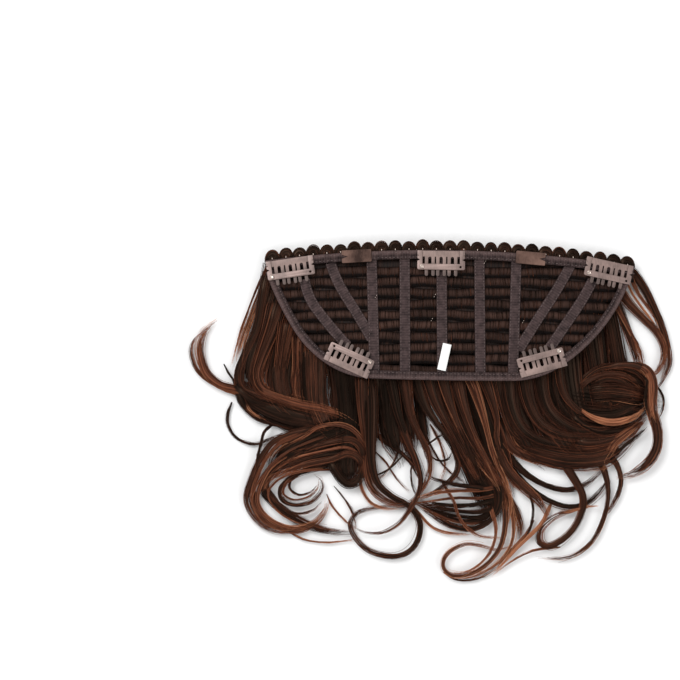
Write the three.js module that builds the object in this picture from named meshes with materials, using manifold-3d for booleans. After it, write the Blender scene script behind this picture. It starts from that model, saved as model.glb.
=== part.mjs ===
// A clip-in hairpiece lying inside up: rows of hair weft on a half-moon base of tapes,
// five comb clips to fasten it, a looped top edge, and long curled hair that fans out below the base.
// Millimetres. +X runs along the looped edge, +Y from the curls towards that edge, +Z up from the table.

import * as THREE from "three";
import { mergeVertices } from "three/addons/utils/BufferGeometryUtils.js";
import Module from "manifold-3d";

const wasm = await Module();
wasm.setup();

const GAP = 0.3;

// How finely paths and outlines are divided: the longest step in millimetres, and the most turn in a step.
const STEP = { edge: 12, edgeTurn: 8, slanted: 10, slantedTurn: 8, weft: 20, band: 20, tape: 6 };

// The half-moon base: its top edge is a shallow bow, its lower edge a chain of arcs.
const TOP_EDGE = { left: -109.5, right: 139.4, middle: 108.3, bow: 0.00058 };
const LOWER_EDGE = {
  x: -109.2,
  y: 93,
  heading: 290,
  bends: [[43, 12], [34, 26], [30, 30], [94, 2], [34, 32], [46, 22], [29, 14]],
};

// How high the base lies: low along the top edge, raised by the hair under its lower edge.
const BASE_LIE = { top: 9, lower: 20, sideDrop: 4, middle: 15, halfWidth: 125, lowerY: 20 };

// Heights of the layers above the base surface.
const WEFT = {
  first: 97.5,
  pitch: 7.4,
  rows: 10,
  deep: 7.1,
  ridge: 1.6,
  ridgeBack: 1,
  ridgeTop: 0.8,
  ridgeWide: 1.8,
  hair: 0.8,
  hairEnd: 0.5,
  bow: 0.0002,
};
const TAPE = { wide: 7, under: 1.9, thick: 1 };
const BAND = { wall: 1, under: 3.2, thick: 1, topWide: 6, edgeWide: 5.6 };
const SEWN_ON = BAND.under + BAND.thick + GAP;

const LOOPS = { count: 27, reach: 8.8, cord: 1.9, sides: 4, steps: 6, round: 0.7, height: 2.1 };
const CLIP = {
  long: 32,
  deep: 13,
  plate: 0.6,
  bar: 4,
  arm: 3.4,
  toothPast: 4.2,
  tooth: 2.25,
  pairPitch: 7.6,
  archGap: 2.2,
  rivet: 1.5,
  rivetTop: 1.2,
  rivetSides: 10,
  hole: 0.8,
  holeSides: 8,
  holeFromEnd: 3,
  notch: 1.2,
};
const TAB = { long: 20, wide: 8.6, thick: 1, notchDeep: 4, notchWide: 2.6 };
const LABEL = { x: 12.6, y: 36, long: 18, wide: 5.8, thick: 0.8, lean: -13 };

// Where the five clips are sewn, with the way each one is turned; the teeth point to the middle of the base.
const CLIPS = {
  top_left: { x: -92.5, y: 96, turn: 8 },
  top_middle: { x: 8.8, y: 101, turn: -1 },
  top_right: { x: 121.5, y: 94.2, turn: -12 },
  lower_left: { x: -53, y: 34, turn: 155 },
  lower_right: { x: 75.5, y: 32.5, turn: 195 },
};
const TABS = {
  left_tab: { x: -48, y: 104, turn: 3 },
  right_tab: { x: 69, y: 102.6, turn: 175 },
};

// Straight tapes run from the top band to the edge binding, and lean a little.
const TAPES = {
  tape_1: { x: -38, lean: 2 },
  tape_2: { x: -15.6, lean: 0 },
  tape_3: { x: 9.2, lean: 0 },
  tape_4: { x: 34.7, lean: 0 },
  tape_5: { x: 59.8, lean: -3.4 },
};

// Slanted tapes: where each one starts below the top band, its heading, and its bends.
const SLANTED_TAPES = {
  outer_left_tape: { x: -83, y: 88.5, heading: 277, bends: [[22, 30], [32, 6]] },
  inner_left_tape: { x: -65.5, y: 99.5, heading: 287, bends: [[26, 16], [32, -4]] },
  inner_right_tape: { x: 96, y: 97.6, heading: 242, bends: [[30, -6], [30, 2]] },
  outer_right_tape: { x: 111, y: 87.5, heading: 243, bends: [[24, -8], [30, 0]] },
};

// Each lock of hair: where it leaves the base, its heading, its width there and in the curl,
// how high it lies, and its bends, each a run in millimetres and a turn in degrees.
const LOCK_COLUMNS = ["x", "y", "heading", "width", "curl", "level", "bends"];
const LOCK_ROWS = {
  left_under: [-92, 50, 258, 26, 16, 0, [[40, -6], [18, 30]]],
  left_sheet: [-72, 40, 265, 26, 18, 1, [[45, -5], [22, -10]]],
  left_edge: [-109, 82, 255, 9, 4.5, 1, [[44, -6], [17, 10], [28, 70], [22, 20]]],
  left_hook: [-95, 54, 247, 9, 5, 2, [[28, -2], [36, -80], [30, -72], [26, -55]]],
  left_hook_thin: [-93, 44, 245, 8, 3, 3, [[31, -27], [32, -55], [32, -72], [16, -70]]],
  left_sweep: [-99, 65, 262, 9, 8, 5, [[39, -22], [20, 85], [24, 20], [31, 12]]],
  left_fold: [-83, 51, 262, 22, 11, 3, [[35, -10], [25, 95], [35, -10]]],
  left_ring: [-59, -10, 200, 10, 3, 1, [[55, -11], [28, -80], [15, -50]]],
  swirl_outer: [-44, 5, 235, 9, 8, 7, [[28, -30], [50, 10], [22, 50], [26, 55], [28, 60]]],
  swirl_dark: [-44, -7, 215, 9, 6, 4, [[45, -25], [38, 78], [28, 65], [50, 28]]],
  swirl_ring: [-56, -25, 190, 9, 5, 6, [[44, 25], [20, 75], [23, 95], [18, 90], [18, 70]]],
  swirl_arc: [-56, -29, 200, 9, 5, 2, [[39, 0], [23, 70], [31, 95], [26, 65]]],
  dark_roll: [-52, 10, 268, 24, 16, 3, [[37, 0], [25, -4]]],
  inner_left: [-41, 10, 268, 9, 6, 5, [[41, 6], [25, 25], [25, 65]]],
  big_ring: [-30, 10, 266, 9, 4.5, 3, [[44, 4], [34, 60], [38, -120], [40, -85], [28, -110], [26, -20]]],
  ring_cross: [-18, 7, 285, 9, 3.5, 6, [[49, -4], [31, -58], [26, -30], [13, -25]]],
  centre_sheet: [-5, 22, 272, 30, 18, 1, [[28, 0], [8, 0]]],
  gap_ring: [4, 7, 290, 9, 4.5, 4, [[30, 10], [22, -55], [26, -42], [18, -15]]],
  bundle_left: [19, 24, 278, 9, 9, 8, [[45, 10], [30, 10], [30, -115], [36, 0]]],
  bundle_arc: [24, 24, 277, 9, 8, 6, [[53, 12], [34, 8], [38, -130], [42, -5]]],
  low_ring: [36, 24, 277, 9, 6, 7, [[52, 8], [46, -8], [36, -55], [30, -45], [14, -125], [32, -50]]],
  low_ring_out: [45, 24, 275, 9, 6, 5, [[52, 12], [44, 0], [34, -65], [32, -30], [20, -15]]],
  copper_tail: [46, 24, 277, 9, 6, 3, [[53, 16], [40, 5], [24, -75], [38, 10]]],
  right_sheet: [75, 25, 278, 28, 20, 1, [[40, 5], [14, -10]]],
  arc_high: [52, 1, 280, 9, 5, 5, [[28, 5], [20, 35], [30, 35], [24, 50]]],
  arc_low: [48, -14, 285, 9, 5, 2, [[25, 10], [22, 30], [30, 35], [32, 75]]],
  leaf_ring: [80, 14, 292, 9, 7, 4, [[44, -2], [38, -12], [20, -55], [18, -25], [12, -130], [34, -55]]],
  long_right: [118, 20, 275, 10, 3, 2, [[58, 4], [36, -25], [30, -52], [36, -25]]],
  right_thick: [147, 41, 280, 9, 8, 5, [[35, 0], [28, -20], [34, -80], [10, -15]]],
  right_roll: [118, 44, 318, 9, 13, 8, [[33, 5], [31, -110], [30, -30], [27, -60]]],
  right_inner: [128, 71, 300, 9, 6, 3, [[31, -8], [19, -22], [34, 22]]],
  right_auburn: [131, 85, 305, 10, 5, 2, [[26, 5], [25, -25], [27, -60]]],
  right_outer: [135, 94, 306, 9, 5, 1, [[35, -4], [28, -28], [32, -50]]],
  right_outer_low: [137, 90, 305, 8, 4.5, 3, [[46, -13], [19, -18], [26, -60]]],
  right_fall: [97, 27, 275, 26, 15, 1, [[42, 0], [30, -100], [31, -10]]],
  right_sweep: [118, 31, 275, 24, 13, 3, [[42, 0], [36, -95], [44, -10]]],
};
const BACKING = { columns: 14, rows: 3, under: 0.45, clearAbove: 40, clearAround: 1.5 };
const LOCK = {
  rootRun: 24,
  thickness: 0.5,
  thinnest: 2.4,
  thickest: 8,
  crown: 0.6,
  gather: 0.45,
  taperFrom: 0.75,
  taper: 0.5,
  settle: 0.85,
  lowest: 0.2,
  sliver: 0.06,
  crossing: 240,
  slimmer: 0.04,
  longStep: 36,
  bentStep: 40,
};

const COLOURS = {
  hair: [0x3a231a, 0.45, 0],
  weft: [0x2a201d, 0.6, 0],
  tape: [0x5a4b4b, 0.8, 0],
  binding: [0x695855, 0.8, 0],
  loop: [0x35231c, 0.5, 0],
  clip: [0xa5918c, 0.35, 0.8],
  rivet: [0xb9aaa5, 0.3, 0.9],
  tab: [0x6e554b, 0.7, 0],
  label: [0xf4f4f2, 0.7, 0],
};

const radians = THREE.MathUtils.degToRad;
const smooth = (t) => THREE.MathUtils.smoothstep(t, 0, 1);
const materials = {};
for (const [name, [color, roughness, metalness]] of Object.entries(COLOURS)) {
  materials[name] = new THREE.MeshStandardMaterial({ color, roughness, metalness });
}

const piece = new THREE.Group();

function addMesh(name, geometry, material, parent = piece) {
  const mesh = new THREE.Mesh(geometry, materials[material]);
  mesh.name = name;
  parent.add(mesh);
  return mesh;
}

// Walking a chain of arcs gives a path of points, each with its heading and the share of the way done.

function walk({ x, y, heading, bends }, longStep, bentStep) {
  const total = bends.reduce((sum, [run]) => sum + run, 0);
  const path = [{ x, y, heading, along: 0 }];
  let travelled = 0;
  for (const [run, turn] of bends) {
    const steps = Math.ceil(Math.max(run / longStep, Math.abs(turn) / bentStep));
    const stride = run / steps;
    const bend = turn / steps;
    const half = radians(Math.abs(bend)) / 2;
    const chord = half > 0 ? stride * Math.sin(half) / half : stride;
    for (let step = 1; step <= steps; step++) {
      const way = radians(heading + bend / 2);
      x += chord * Math.cos(way);
      y += chord * Math.sin(way);
      heading += bend;
      travelled += stride;
      path.push({ x, y, heading, along: travelled / total });
    }
  }
  return path;
}

// A loft joins rings of equal point count into one closed solid with flat ends.

function loft(rings) {
  const count = rings[0].length;
  const positions = rings.flat().flatMap((p) => [p.x, p.y, p.z]);
  const faces = [];
  for (let ring = 0; ring + 1 < rings.length; ring++) {
    for (let i = 0; i < count; i++) {
      const a = ring * count + i;
      const b = ring * count + (i + 1) % count;
      faces.push(a, b, a + count, b, b + count, a + count);
    }
  }
  const last = (rings.length - 1) * count;
  for (const [a, b, c] of endFaces(rings[0])) faces.push(c, b, a);
  for (const [a, b, c] of endFaces(rings.at(-1))) faces.push(last + a, last + b, last + c);
  const geometry = new THREE.BufferGeometry();
  geometry.setAttribute("position", new THREE.Float32BufferAttribute(positions, 3));
  geometry.setIndex(faces);
  return facingOut(geometry);
}

// The end of a loft is a flat outline, cut into triangles in the plane of its first corner.

function endFaces(ring) {
  const across = new THREE.Vector3().subVectors(ring[1], ring[0]).normalize();
  const normal = new THREE.Vector3();
  ring.forEach((corner, i) => {
    const next = ring[(i + 1) % ring.length];
    normal.add(new THREE.Vector3().crossVectors(corner, next));
  });
  normal.normalize();
  const up = new THREE.Vector3().crossVectors(normal, across);
  const flat = ring.map((p) => new THREE.Vector2(p.dot(across), p.dot(up)));
  return THREE.ShapeUtils.triangulateShape(flat, []);
}

function facingOut(geometry) {
  const corners = geometry.index.array;
  const position = geometry.attributes.position;
  const [a, b, c] = [new THREE.Vector3(), new THREE.Vector3(), new THREE.Vector3()];
  let volume = 0;
  for (let i = 0; i < corners.length; i += 3) {
    a.fromBufferAttribute(position, corners[i]);
    b.fromBufferAttribute(position, corners[i + 1]);
    c.fromBufferAttribute(position, corners[i + 2]);
    volume += a.dot(b.cross(c));
  }
  if (volume < 0) {
    for (let i = 0; i < corners.length; i += 3) [corners[i], corners[i + 1]] = [corners[i + 1], corners[i]];
  }
  return geometry;
}

function solid(geometry) {
  const bare = geometry.clone();
  bare.deleteAttribute("normal");
  bare.deleteAttribute("uv");
  const merged = mergeVertices(bare);
  return new wasm.Manifold(new wasm.Mesh({
    numProp: 3,
    vertProperties: new Float32Array(merged.attributes.position.array),
    triVerts: new Uint32Array(merged.index.array),
  }));
}

function geometryOf(body) {
  const mesh = body.getMesh();
  const geometry = new THREE.BufferGeometry();
  geometry.setAttribute("position", new THREE.Float32BufferAttribute(mesh.vertProperties, 3));
  geometry.setIndex([...mesh.triVerts]);
  return geometry;
}

function largest(body) {
  return body.decompose().reduce((best, next) => (next.volume() > best.volume() ? next : best));
}

// The base surface, and its outline as functions of x and y.

const topEdge = (x) => TOP_EDGE.middle - TOP_EDGE.bow * x * x;
const lowerPath = walk(LOWER_EDGE, STEP.edge, STEP.edgeTurn);
const lowestOfBase = Math.min(...lowerPath.map((p) => p.y));

function lowerEdge(x) {
  const next = lowerPath.findIndex((p) => p.x >= x);
  if (next <= 0) return lowerPath.at(next).y;
  const [a, b] = [lowerPath[next - 1], lowerPath[next]];
  return THREE.MathUtils.mapLinear(x, a.x, b.x, a.y, b.y);
}

function edgeDistance(x, y) {
  const place = new THREE.Vector3(x, y, 0);
  const nearest = new THREE.Vector3();
  const distances = lowerPath.slice(1).map((end, i) => {
    const from = new THREE.Vector3(lowerPath[i].x, lowerPath[i].y, 0);
    const stretch = new THREE.Line3(from, new THREE.Vector3(end.x, end.y, 0));
    return stretch.closestPointToPoint(place, true, nearest).distanceTo(place);
  });
  return Math.min(...distances);
}

function lie(x, y) {
  const down = (TOP_EDGE.middle - y) / (TOP_EDGE.middle - BASE_LIE.lowerY);
  const aside = (x - BASE_LIE.middle) / BASE_LIE.halfWidth;
  return BASE_LIE.top + (BASE_LIE.lower - BASE_LIE.top) * down - BASE_LIE.sideDrop * aside * aside;
}

function onBase(x, y, above) {
  return new THREE.Vector3(x, y, lie(x, y) + above);
}

// A strip is a profile of [across, above] points carried along a path on the base; across is to the left.

function strip(path, profile) {
  return loft(path.map(({ x, y, heading }) => {
    const [acrossX, acrossY] = [-Math.sin(radians(heading)), Math.cos(radians(heading))];
    return profile.map(([across, above]) => onBase(x + acrossX * across, y + acrossY * across, above));
  }));
}

const flatProfile = (wide, under, thick) => [
  [-wide / 2, under],
  [wide / 2, under],
  [wide / 2, under + thick],
  [-wide / 2, under + thick],
];

// A folded tape: an outer wall down the edge of the base and a flange over the layers inside it.

const foldedProfile = (wide, inward) => [
  [0, 0],
  [inward * BAND.wall, 0],
  [inward * BAND.wall, BAND.under],
  [inward * wide, BAND.under],
  [inward * wide, BAND.under + BAND.thick],
  [0, BAND.under + BAND.thick],
];

function topPath(steps) {
  return Array.from({ length: steps + 1 }, (_, i) => {
    const x = THREE.MathUtils.lerp(TOP_EDGE.left, TOP_EDGE.right, i / steps);
    const heading = THREE.MathUtils.radToDeg(Math.atan(-2 * TOP_EDGE.bow * x));
    return { x, y: topEdge(x), heading };
  });
}

function addBands() {
  addMesh("top_band", strip(topPath(STEP.band), foldedProfile(BAND.topWide, -1)), "binding");
  addMesh("edge_binding", strip(lowerPath, foldedProfile(BAND.edgeWide, 1)), "binding");
}

// A row of weft: hair sewn to a ridge along the row's upper side, reaching from edge to edge of the base.

function addWefts() {
  const wall = BAND.wall + GAP;
  const profile = [
    [0, 0],
    [0, WEFT.ridgeBack],
    [-WEFT.ridgeTop, WEFT.ridge],
    [-WEFT.ridgeWide, WEFT.hair],
    [-WEFT.deep, WEFT.hairEnd],
    [-WEFT.deep, 0],
  ];
  for (let row = 0; row < WEFT.rows; row++) {
    const rowY = (x) => WEFT.first - WEFT.pitch * row - WEFT.bow * x * x;
    const inside = (x) => {
      const [high, low] = [rowY(x), rowY(x) - WEFT.deep];
      const clear = Math.min(edgeDistance(x, low), edgeDistance(x, high));
      return low > lowerEdge(x) && clear > wall && high < topEdge(x) - wall;
    };
    const tries = Math.floor((TOP_EDGE.right - TOP_EDGE.left) / GAP);
    const reach = Array.from({ length: tries }, (_, i) => TOP_EDGE.left + GAP * (i + 1)).filter(inside);
    const [from, to] = [reach[0], reach.at(-1)];
    const steps = Math.ceil((to - from) / STEP.weft);
    const path = Array.from({ length: steps + 1 }, (_, i) => {
      const x = THREE.MathUtils.lerp(from, to, i / steps);
      return { x, y: rowY(x), heading: 0 };
    });
    addMesh(`weft_${String(row + 1).padStart(2, "0")}`, strip(path, profile), "weft");
  }
}

// Tapes lie on the wefts, with their ends tucked under the band and the binding.

function addTapes() {
  const tuck = BAND.wall + GAP;
  const profile = flatProfile(TAPE.wide, TAPE.under, TAPE.thick);
  for (const [name, { x, lean }] of Object.entries(TAPES)) {
    const high = topEdge(x) - tuck;
    const low = lowerEdge(x + lean) + tuck;
    const path = Array.from({ length: STEP.tape + 1 }, (_, i) => {
      const down = i / STEP.tape;
      return { x: x + lean * down, y: THREE.MathUtils.lerp(high, low, down), heading: 270 };
    });
    addMesh(name, strip(path, profile), "tape");
  }
  const keepOut = Object.values(TAPES).map(({ x, lean }) => clearance(x, lean));
  for (const [name, row] of Object.entries(SLANTED_TAPES)) {
    let tape = solid(strip(walk(row, STEP.slanted, STEP.slantedTurn), profile));
    for (const block of keepOut) tape = tape.subtract(block);
    addMesh(name, geometryOf(largest(tape)), "tape");
  }
}

// The room that a straight tape takes from the slanted ones that butt against it.

function clearance(x, lean) {
  const [high, low] = [topEdge(x), lowestOfBase];
  const path = [
    { x, y: high, heading: 270 },
    { x: x + lean, y: low, heading: 270 },
  ];
  return solid(strip(path, flatProfile(TAPE.wide + 2 * GAP, -TAPE.wide, 3 * TAPE.wide)));
}

// The looped edge: one cord of wrapped hair, laid in arches along the outside of the top band.

function addLoops() {
  const { count, reach, cord, sides, steps, round, height } = LOOPS;
  const rise = reach - 2 * cord;
  const middleLine = (share) => {
    const x = THREE.MathUtils.lerp(TOP_EDGE.left, TOP_EDGE.right, share);
    const arch = Math.abs(Math.sin(Math.PI * count * share)) ** round;
    return onBase(x, topEdge(x) + cord + GAP + rise * arch, height);
  };
  const upwards = new THREE.Vector3(0, 0, 1);
  const total = count * steps;
  const rings = Array.from({ length: total + 1 }, (_, i) => {
    const ahead = middleLine((i + 0.5) / total).sub(middleLine((i - 0.5) / total));
    const outward = new THREE.Vector3(-ahead.y, ahead.x, 0).normalize();
    return Array.from({ length: sides }, (_, side) => {
      const angle = 2 * Math.PI * side / sides;
      const around = outward.clone().multiplyScalar(Math.cos(angle)).addScaledVector(upwards, Math.sin(angle));
      return middleLine(i / total).addScaledVector(around, cord);
    });
  });
  addMesh("loop_edge", loft(rings), "loop");
}

// Plates cut from sheet lie flat in a frame turned to the base surface at their place.

function plate(outline, thick, holes = []) {
  const shape = new THREE.Shape(outline.map(([x, y]) => new THREE.Vector2(x, y)));
  for (const { x, y, radius, sides } of holes) {
    const rim = Array.from({ length: sides }, (_, i) => {
      const angle = 2 * Math.PI * i / sides;
      return new THREE.Vector2(x + radius * Math.cos(angle), y + radius * Math.sin(angle));
    });
    shape.holes.push(new THREE.Path(rim));
  }
  return new THREE.ExtrudeGeometry(shape, { depth: thick, bevelEnabled: false });
}

function sewnFrame({ x, y, turn }, above) {
  const slopeX = lie(x + 0.5, y) - lie(x - 0.5, y);
  const slopeY = lie(x, y + 0.5) - lie(x, y - 0.5);
  const up = new THREE.Vector3(-slopeX, -slopeY, 1).normalize();
  const along = new THREE.Vector3(Math.cos(radians(turn)), Math.sin(radians(turn)), 0);
  along.addScaledVector(up, -along.dot(up)).normalize();
  const back = new THREE.Vector3().crossVectors(up, along);
  const frame = new THREE.Group();
  frame.position.copy(onBase(x, y, above));
  frame.quaternion.setFromRotationMatrix(new THREE.Matrix4().makeBasis(along, back, up));
  piece.add(frame);
  return frame;
}

// A clip: a sewn-on comb with three pairs of teeth, and a lever that snaps down over them, with its rivet.

function combOutline() {
  const { long, deep, bar, tooth, pairPitch, archGap, toothPast } = CLIP;
  const back = deep / 2;
  const root = back - bar;
  const tip = -deep / 2 - toothPast;
  const outline = [[-long / 2, back], [-long / 2, root]];
  for (const pair of [-1, 0, 1]) {
    for (const side of [-1, 1]) {
      const middle = pair * pairPitch + side * (archGap + tooth) / 2;
      const [left, right] = [middle - tooth / 2, middle + tooth / 2];
      const archRoot = root - tooth / 4;
      outline.push([left, side > 0 ? archRoot : root], [left, tip + tooth / 2], [middle, tip]);
      outline.push([right, tip + tooth / 2], [right, side < 0 ? archRoot : root]);
      if (side < 0) outline.push([right + archGap / 2, root]);
    }
  }
  outline.push([long / 2, root], [long / 2, back]);
  return outline;
}

function leverOutline() {
  const { long, deep, bar, arm, notch } = CLIP;
  const [side, back, front] = [long / 2, deep / 2, -deep / 2];
  const inner = front + bar;
  const half = (sign) => [
    [sign * (side - arm), inner],
    [sign * (side - arm), back],
    [sign * side, back],
    [sign * side, notch],
    [sign * (side - notch), notch],
    [sign * (side - notch), -notch / 2],
    [sign * side, -notch / 2],
    [sign * side, front],
  ];
  return [...half(1), ...half(-1).reverse()];
}

function addClips() {
  const { long, deep, plate: thick, bar, rivet, rivetTop, rivetSides, hole, holeSides, holeFromEnd } = CLIP;
  const comb = plate(combOutline(), thick);
  const barMiddle = -deep / 2 + bar / 2;
  const holeX = long / 2 - holeFromEnd;
  const lever = plate(leverOutline(), thick, [{ x: holeX, y: barMiddle, radius: hole, sides: holeSides }]);
  const head = new THREE.LatheGeometry([
    new THREE.Vector2(0, 0),
    new THREE.Vector2(rivet, 0),
    new THREE.Vector2(rivetTop, thick),
    new THREE.Vector2(0, thick),
  ], rivetSides).rotateX(Math.PI / 2);
  for (const [name, place] of Object.entries(CLIPS)) {
    const frame = sewnFrame(place, SEWN_ON);
    addMesh(`${name}_comb`, comb, "clip", frame);
    addMesh(`${name}_lever`, lever, "clip", frame).position.z = thick + GAP;
    addMesh(`${name}_rivet`, head, "rivet", frame).position.set(-holeX, barMiddle, 2 * (thick + GAP));
  }
}

// Small sewn-on pieces: two notched grip tabs and a blank label.

function addTabsAndLabel() {
  const { long, wide, thick, notchDeep, notchWide } = TAB;
  const [end, side] = [long / 2, wide / 2];
  const tab = plate([
    [end, side],
    [-end, side],
    [-end, notchWide / 2],
    [-end + notchDeep, 0],
    [-end, -notchWide / 2],
    [-end, -side],
    [end, -side],
  ], thick);
  for (const [name, place] of Object.entries(TABS)) addMesh(name, tab, "tab", sewnFrame(place, SEWN_ON));
  const lean = 270 + LABEL.lean;
  const run = { x: LABEL.x, y: LABEL.y + LABEL.long / 2, heading: lean, bends: [[LABEL.long, 0]] };
  const profile = flatProfile(LABEL.wide, TAPE.under + TAPE.thick + GAP, LABEL.thick);
  addMesh("label", strip(walk(run, LABEL.long / 2, 1), profile), "label");
}

// The hair: a flat-bottomed backing under the base, and locks that spread from it and curl on the table.

function columns(levels, outset) {
  const { columns: count, rows } = BACKING;
  const left = TOP_EDGE.left - outset;
  const right = TOP_EDGE.right + outset;
  return Array.from({ length: count + 1 }, (_, i) => {
    const x = THREE.MathUtils.lerp(left, right, i / count);
    const edgeX = THREE.MathUtils.clamp(x, lowerPath[0].x, lowerPath.at(-1).x);
    const [high, low] = [topEdge(x) + outset, lowerEdge(edgeX) - outset];
    const ring = [];
    for (let row = 0; row <= rows; row++) {
      const y = THREE.MathUtils.lerp(high, low, row / rows);
      ring.push(new THREE.Vector3(x, y, levels.under(x, y)));
    }
    for (let row = rows; row >= 0; row--) {
      const y = THREE.MathUtils.lerp(high, low, row / rows);
      ring.push(new THREE.Vector3(x, y, levels.over(x, y)));
    }
    return ring;
  });
}

function lockSize(along, { width, curl }) {
  const gathered = THREE.MathUtils.lerp(width, curl, smooth(along / LOCK.gather));
  const tip = smooth((along - LOCK.taperFrom) / (1 - LOCK.taperFrom));
  const wide = gathered * (1 - LOCK.taper * tip);
  return [wide, THREE.MathUtils.clamp(wide * LOCK.thickness, LOCK.thinnest, LOCK.thickest)];
}

function lockSections(row) {
  const [stepX, stepY] = [Math.cos(radians(row.heading)), Math.sin(radians(row.heading))];
  const room = (topEdge(row.x) - BAND.topWide - row.y) / -stepY;
  const root = THREE.MathUtils.clamp(room, 0, LOCK.rootRun);
  const bends = root > 0 ? [[root, 0], ...row.bends] : row.bends;
  const start = { x: row.x - root * stepX, y: row.y - root * stepY, heading: row.heading, bends };
  return walk(start, LOCK.longStep, LOCK.bentStep).map(({ x, y, heading, along }) => {
    const [wide, thick] = lockSize(along, row);
    const under = LOCK.lowest + row.level * (1 - LOCK.settle * smooth(along));
    const [acrossX, acrossY] = [-Math.sin(radians(heading)), Math.cos(radians(heading))];
    const corner = (across, z) => new THREE.Vector3(x + acrossX * across, y + acrossY * across, z);
    const crown = wide * LOCK.crown / 2;
    const ring = [
      corner(-wide / 2, under),
      corner(wide / 2, under),
      corner(crown, under + thick),
      corner(-crown, under + thick),
    ];
    return { ring, heading };
  });
}

// A lock that curls nearly all the way round is made in two lengths, so that it may cross itself.
// The second length starts inside the first one, and is a little slimmer.

function lockSolids(row) {
  const sections = lockSections(row);
  const headings = sections.map(({ heading }) => heading);
  const turned = (end) => Math.max(...headings.slice(0, end)) - Math.min(...headings.slice(0, end));
  const cut = sections.findIndex((_, i) => turned(i + 1) > LOCK.crossing);
  const rings = sections.map(({ ring }) => ring);
  if (cut < 0) return [solid(loft(rings))];
  return [solid(loft(rings.slice(0, cut + 1))), solid(loft(rings.slice(cut - 1).map(slimmer)))];
}

function slimmer(ring) {
  const middle = ring.reduce((sum, p) => sum.add(p), new THREE.Vector3()).divideScalar(ring.length);
  return ring.map((p) => p.clone().lerp(middle, LOCK.slimmer));
}

function addHair() {
  const backing = (x, y) => lie(x, y) - BACKING.under;
  const sewn = (x, y) => lie(x, y) - GAP;
  const wellAbove = (x, y) => lie(x, y) + BACKING.clearAbove;
  let hair = solid(loft(columns({ under: () => 0, over: backing }, 0)));
  for (const values of Object.values(LOCK_ROWS)) {
    const row = Object.fromEntries(LOCK_COLUMNS.map((column, i) => [column, values[i]]));
    for (const body of lockSolids(row)) hair = hair.add(body);
  }
  const cover = solid(loft(columns({ under: sewn, over: wellAbove }, BACKING.clearAround)));
  addMesh("hair", geometryOf(largest(hair.subtract(cover)).simplify(LOCK.sliver)), "hair");
}

addHair();
addWefts();
addTapes();
addBands();
addLoops();
addClips();
addTabsAndLabel();

// The origin is under the middle of the whole piece, on the table.
const box = new THREE.Box3().setFromObject(piece);
const middle = box.getCenter(new THREE.Vector3());
piece.position.set(-middle.x, -middle.y, -box.min.z);

const hairpiece = new THREE.Group();
hairpiece.add(piece);

export default hairpiece;
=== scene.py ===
# %% [markdown]
# # A clip-in hairpiece, lying inside up
# The real piece is a half-moon base of tapes and hair wefts that lies on its own hair, with curls spread
# below it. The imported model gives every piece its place. This lesson dresses it: strands instead of solid
# locks, woven tapes with their stitches, and pressed metal clips. Everything is in metres, in the frame's
# own axes.

# %% Load the frame
import math

import bmesh
import bpy
import numpy as np
from mathutils import Matrix, Vector


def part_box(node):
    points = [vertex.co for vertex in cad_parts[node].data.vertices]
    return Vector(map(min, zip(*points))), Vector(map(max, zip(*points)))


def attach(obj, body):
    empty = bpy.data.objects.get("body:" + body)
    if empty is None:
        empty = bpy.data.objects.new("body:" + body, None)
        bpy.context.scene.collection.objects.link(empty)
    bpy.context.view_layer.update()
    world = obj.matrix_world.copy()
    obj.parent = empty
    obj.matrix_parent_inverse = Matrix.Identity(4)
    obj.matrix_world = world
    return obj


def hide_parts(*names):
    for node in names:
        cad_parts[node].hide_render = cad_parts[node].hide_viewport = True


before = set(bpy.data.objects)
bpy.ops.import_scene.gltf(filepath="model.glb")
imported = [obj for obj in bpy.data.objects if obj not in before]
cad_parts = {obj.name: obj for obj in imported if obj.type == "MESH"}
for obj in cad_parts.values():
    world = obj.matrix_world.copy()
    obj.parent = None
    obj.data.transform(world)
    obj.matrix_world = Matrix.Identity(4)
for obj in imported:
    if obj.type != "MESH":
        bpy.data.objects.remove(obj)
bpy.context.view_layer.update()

# %% [markdown]
# ## The base as a drawing
# The base is worked out as it was drawn: a bowed top edge, a lower edge made of arcs, and a height that
# rises towards the hair under the lower edge. Sizes in the drawing are millimetres. The frame's origin is
# under the middle of the whole piece, so the top band, whose ends and top are known, tells how far the
# drawing is moved.

# %% The drawing and its place in the frame
MM = 0.001
TOP_LEFT = -109.5
TOP_RIGHT = 139.4
TOP_MIDDLE = 108.3
TOP_BOW = 0.00058
LOWER_START = (-109.2, 93, 290)
LOWER_BENDS = [(43, 12), (34, 26), (30, 30), (94, 2), (34, 32), (46, 22), (29, 14)]
LIE_TOP = 9
LIE_LOWER = 20
LIE_SIDE_DROP = 4
LIE_MIDDLE = 15
LIE_HALF_WIDTH = 125
LIE_LOWER_Y = 20
LOWER_STRIDE = 4
TURN_STEP = 6

band_low, band_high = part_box("top_band")
MOVE_X = band_low.x - TOP_LEFT * MM
MOVE_Y = band_high.y - TOP_MIDDLE * MM


def place(x, y, z):
    """A point of the drawing, in metres in the frame."""
    return Vector((x * MM + MOVE_X, y * MM + MOVE_Y, z * MM))


def top_edge(x):
    return TOP_MIDDLE - TOP_BOW * x * x


def lie(x, y):
    """The height of the base surface."""
    down = (TOP_MIDDLE - y) / (TOP_MIDDLE - LIE_LOWER_Y)
    aside = (x - LIE_MIDDLE) / LIE_HALF_WIDTH
    return LIE_TOP + (LIE_LOWER - LIE_TOP) * down - LIE_SIDE_DROP * aside * aside


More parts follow.
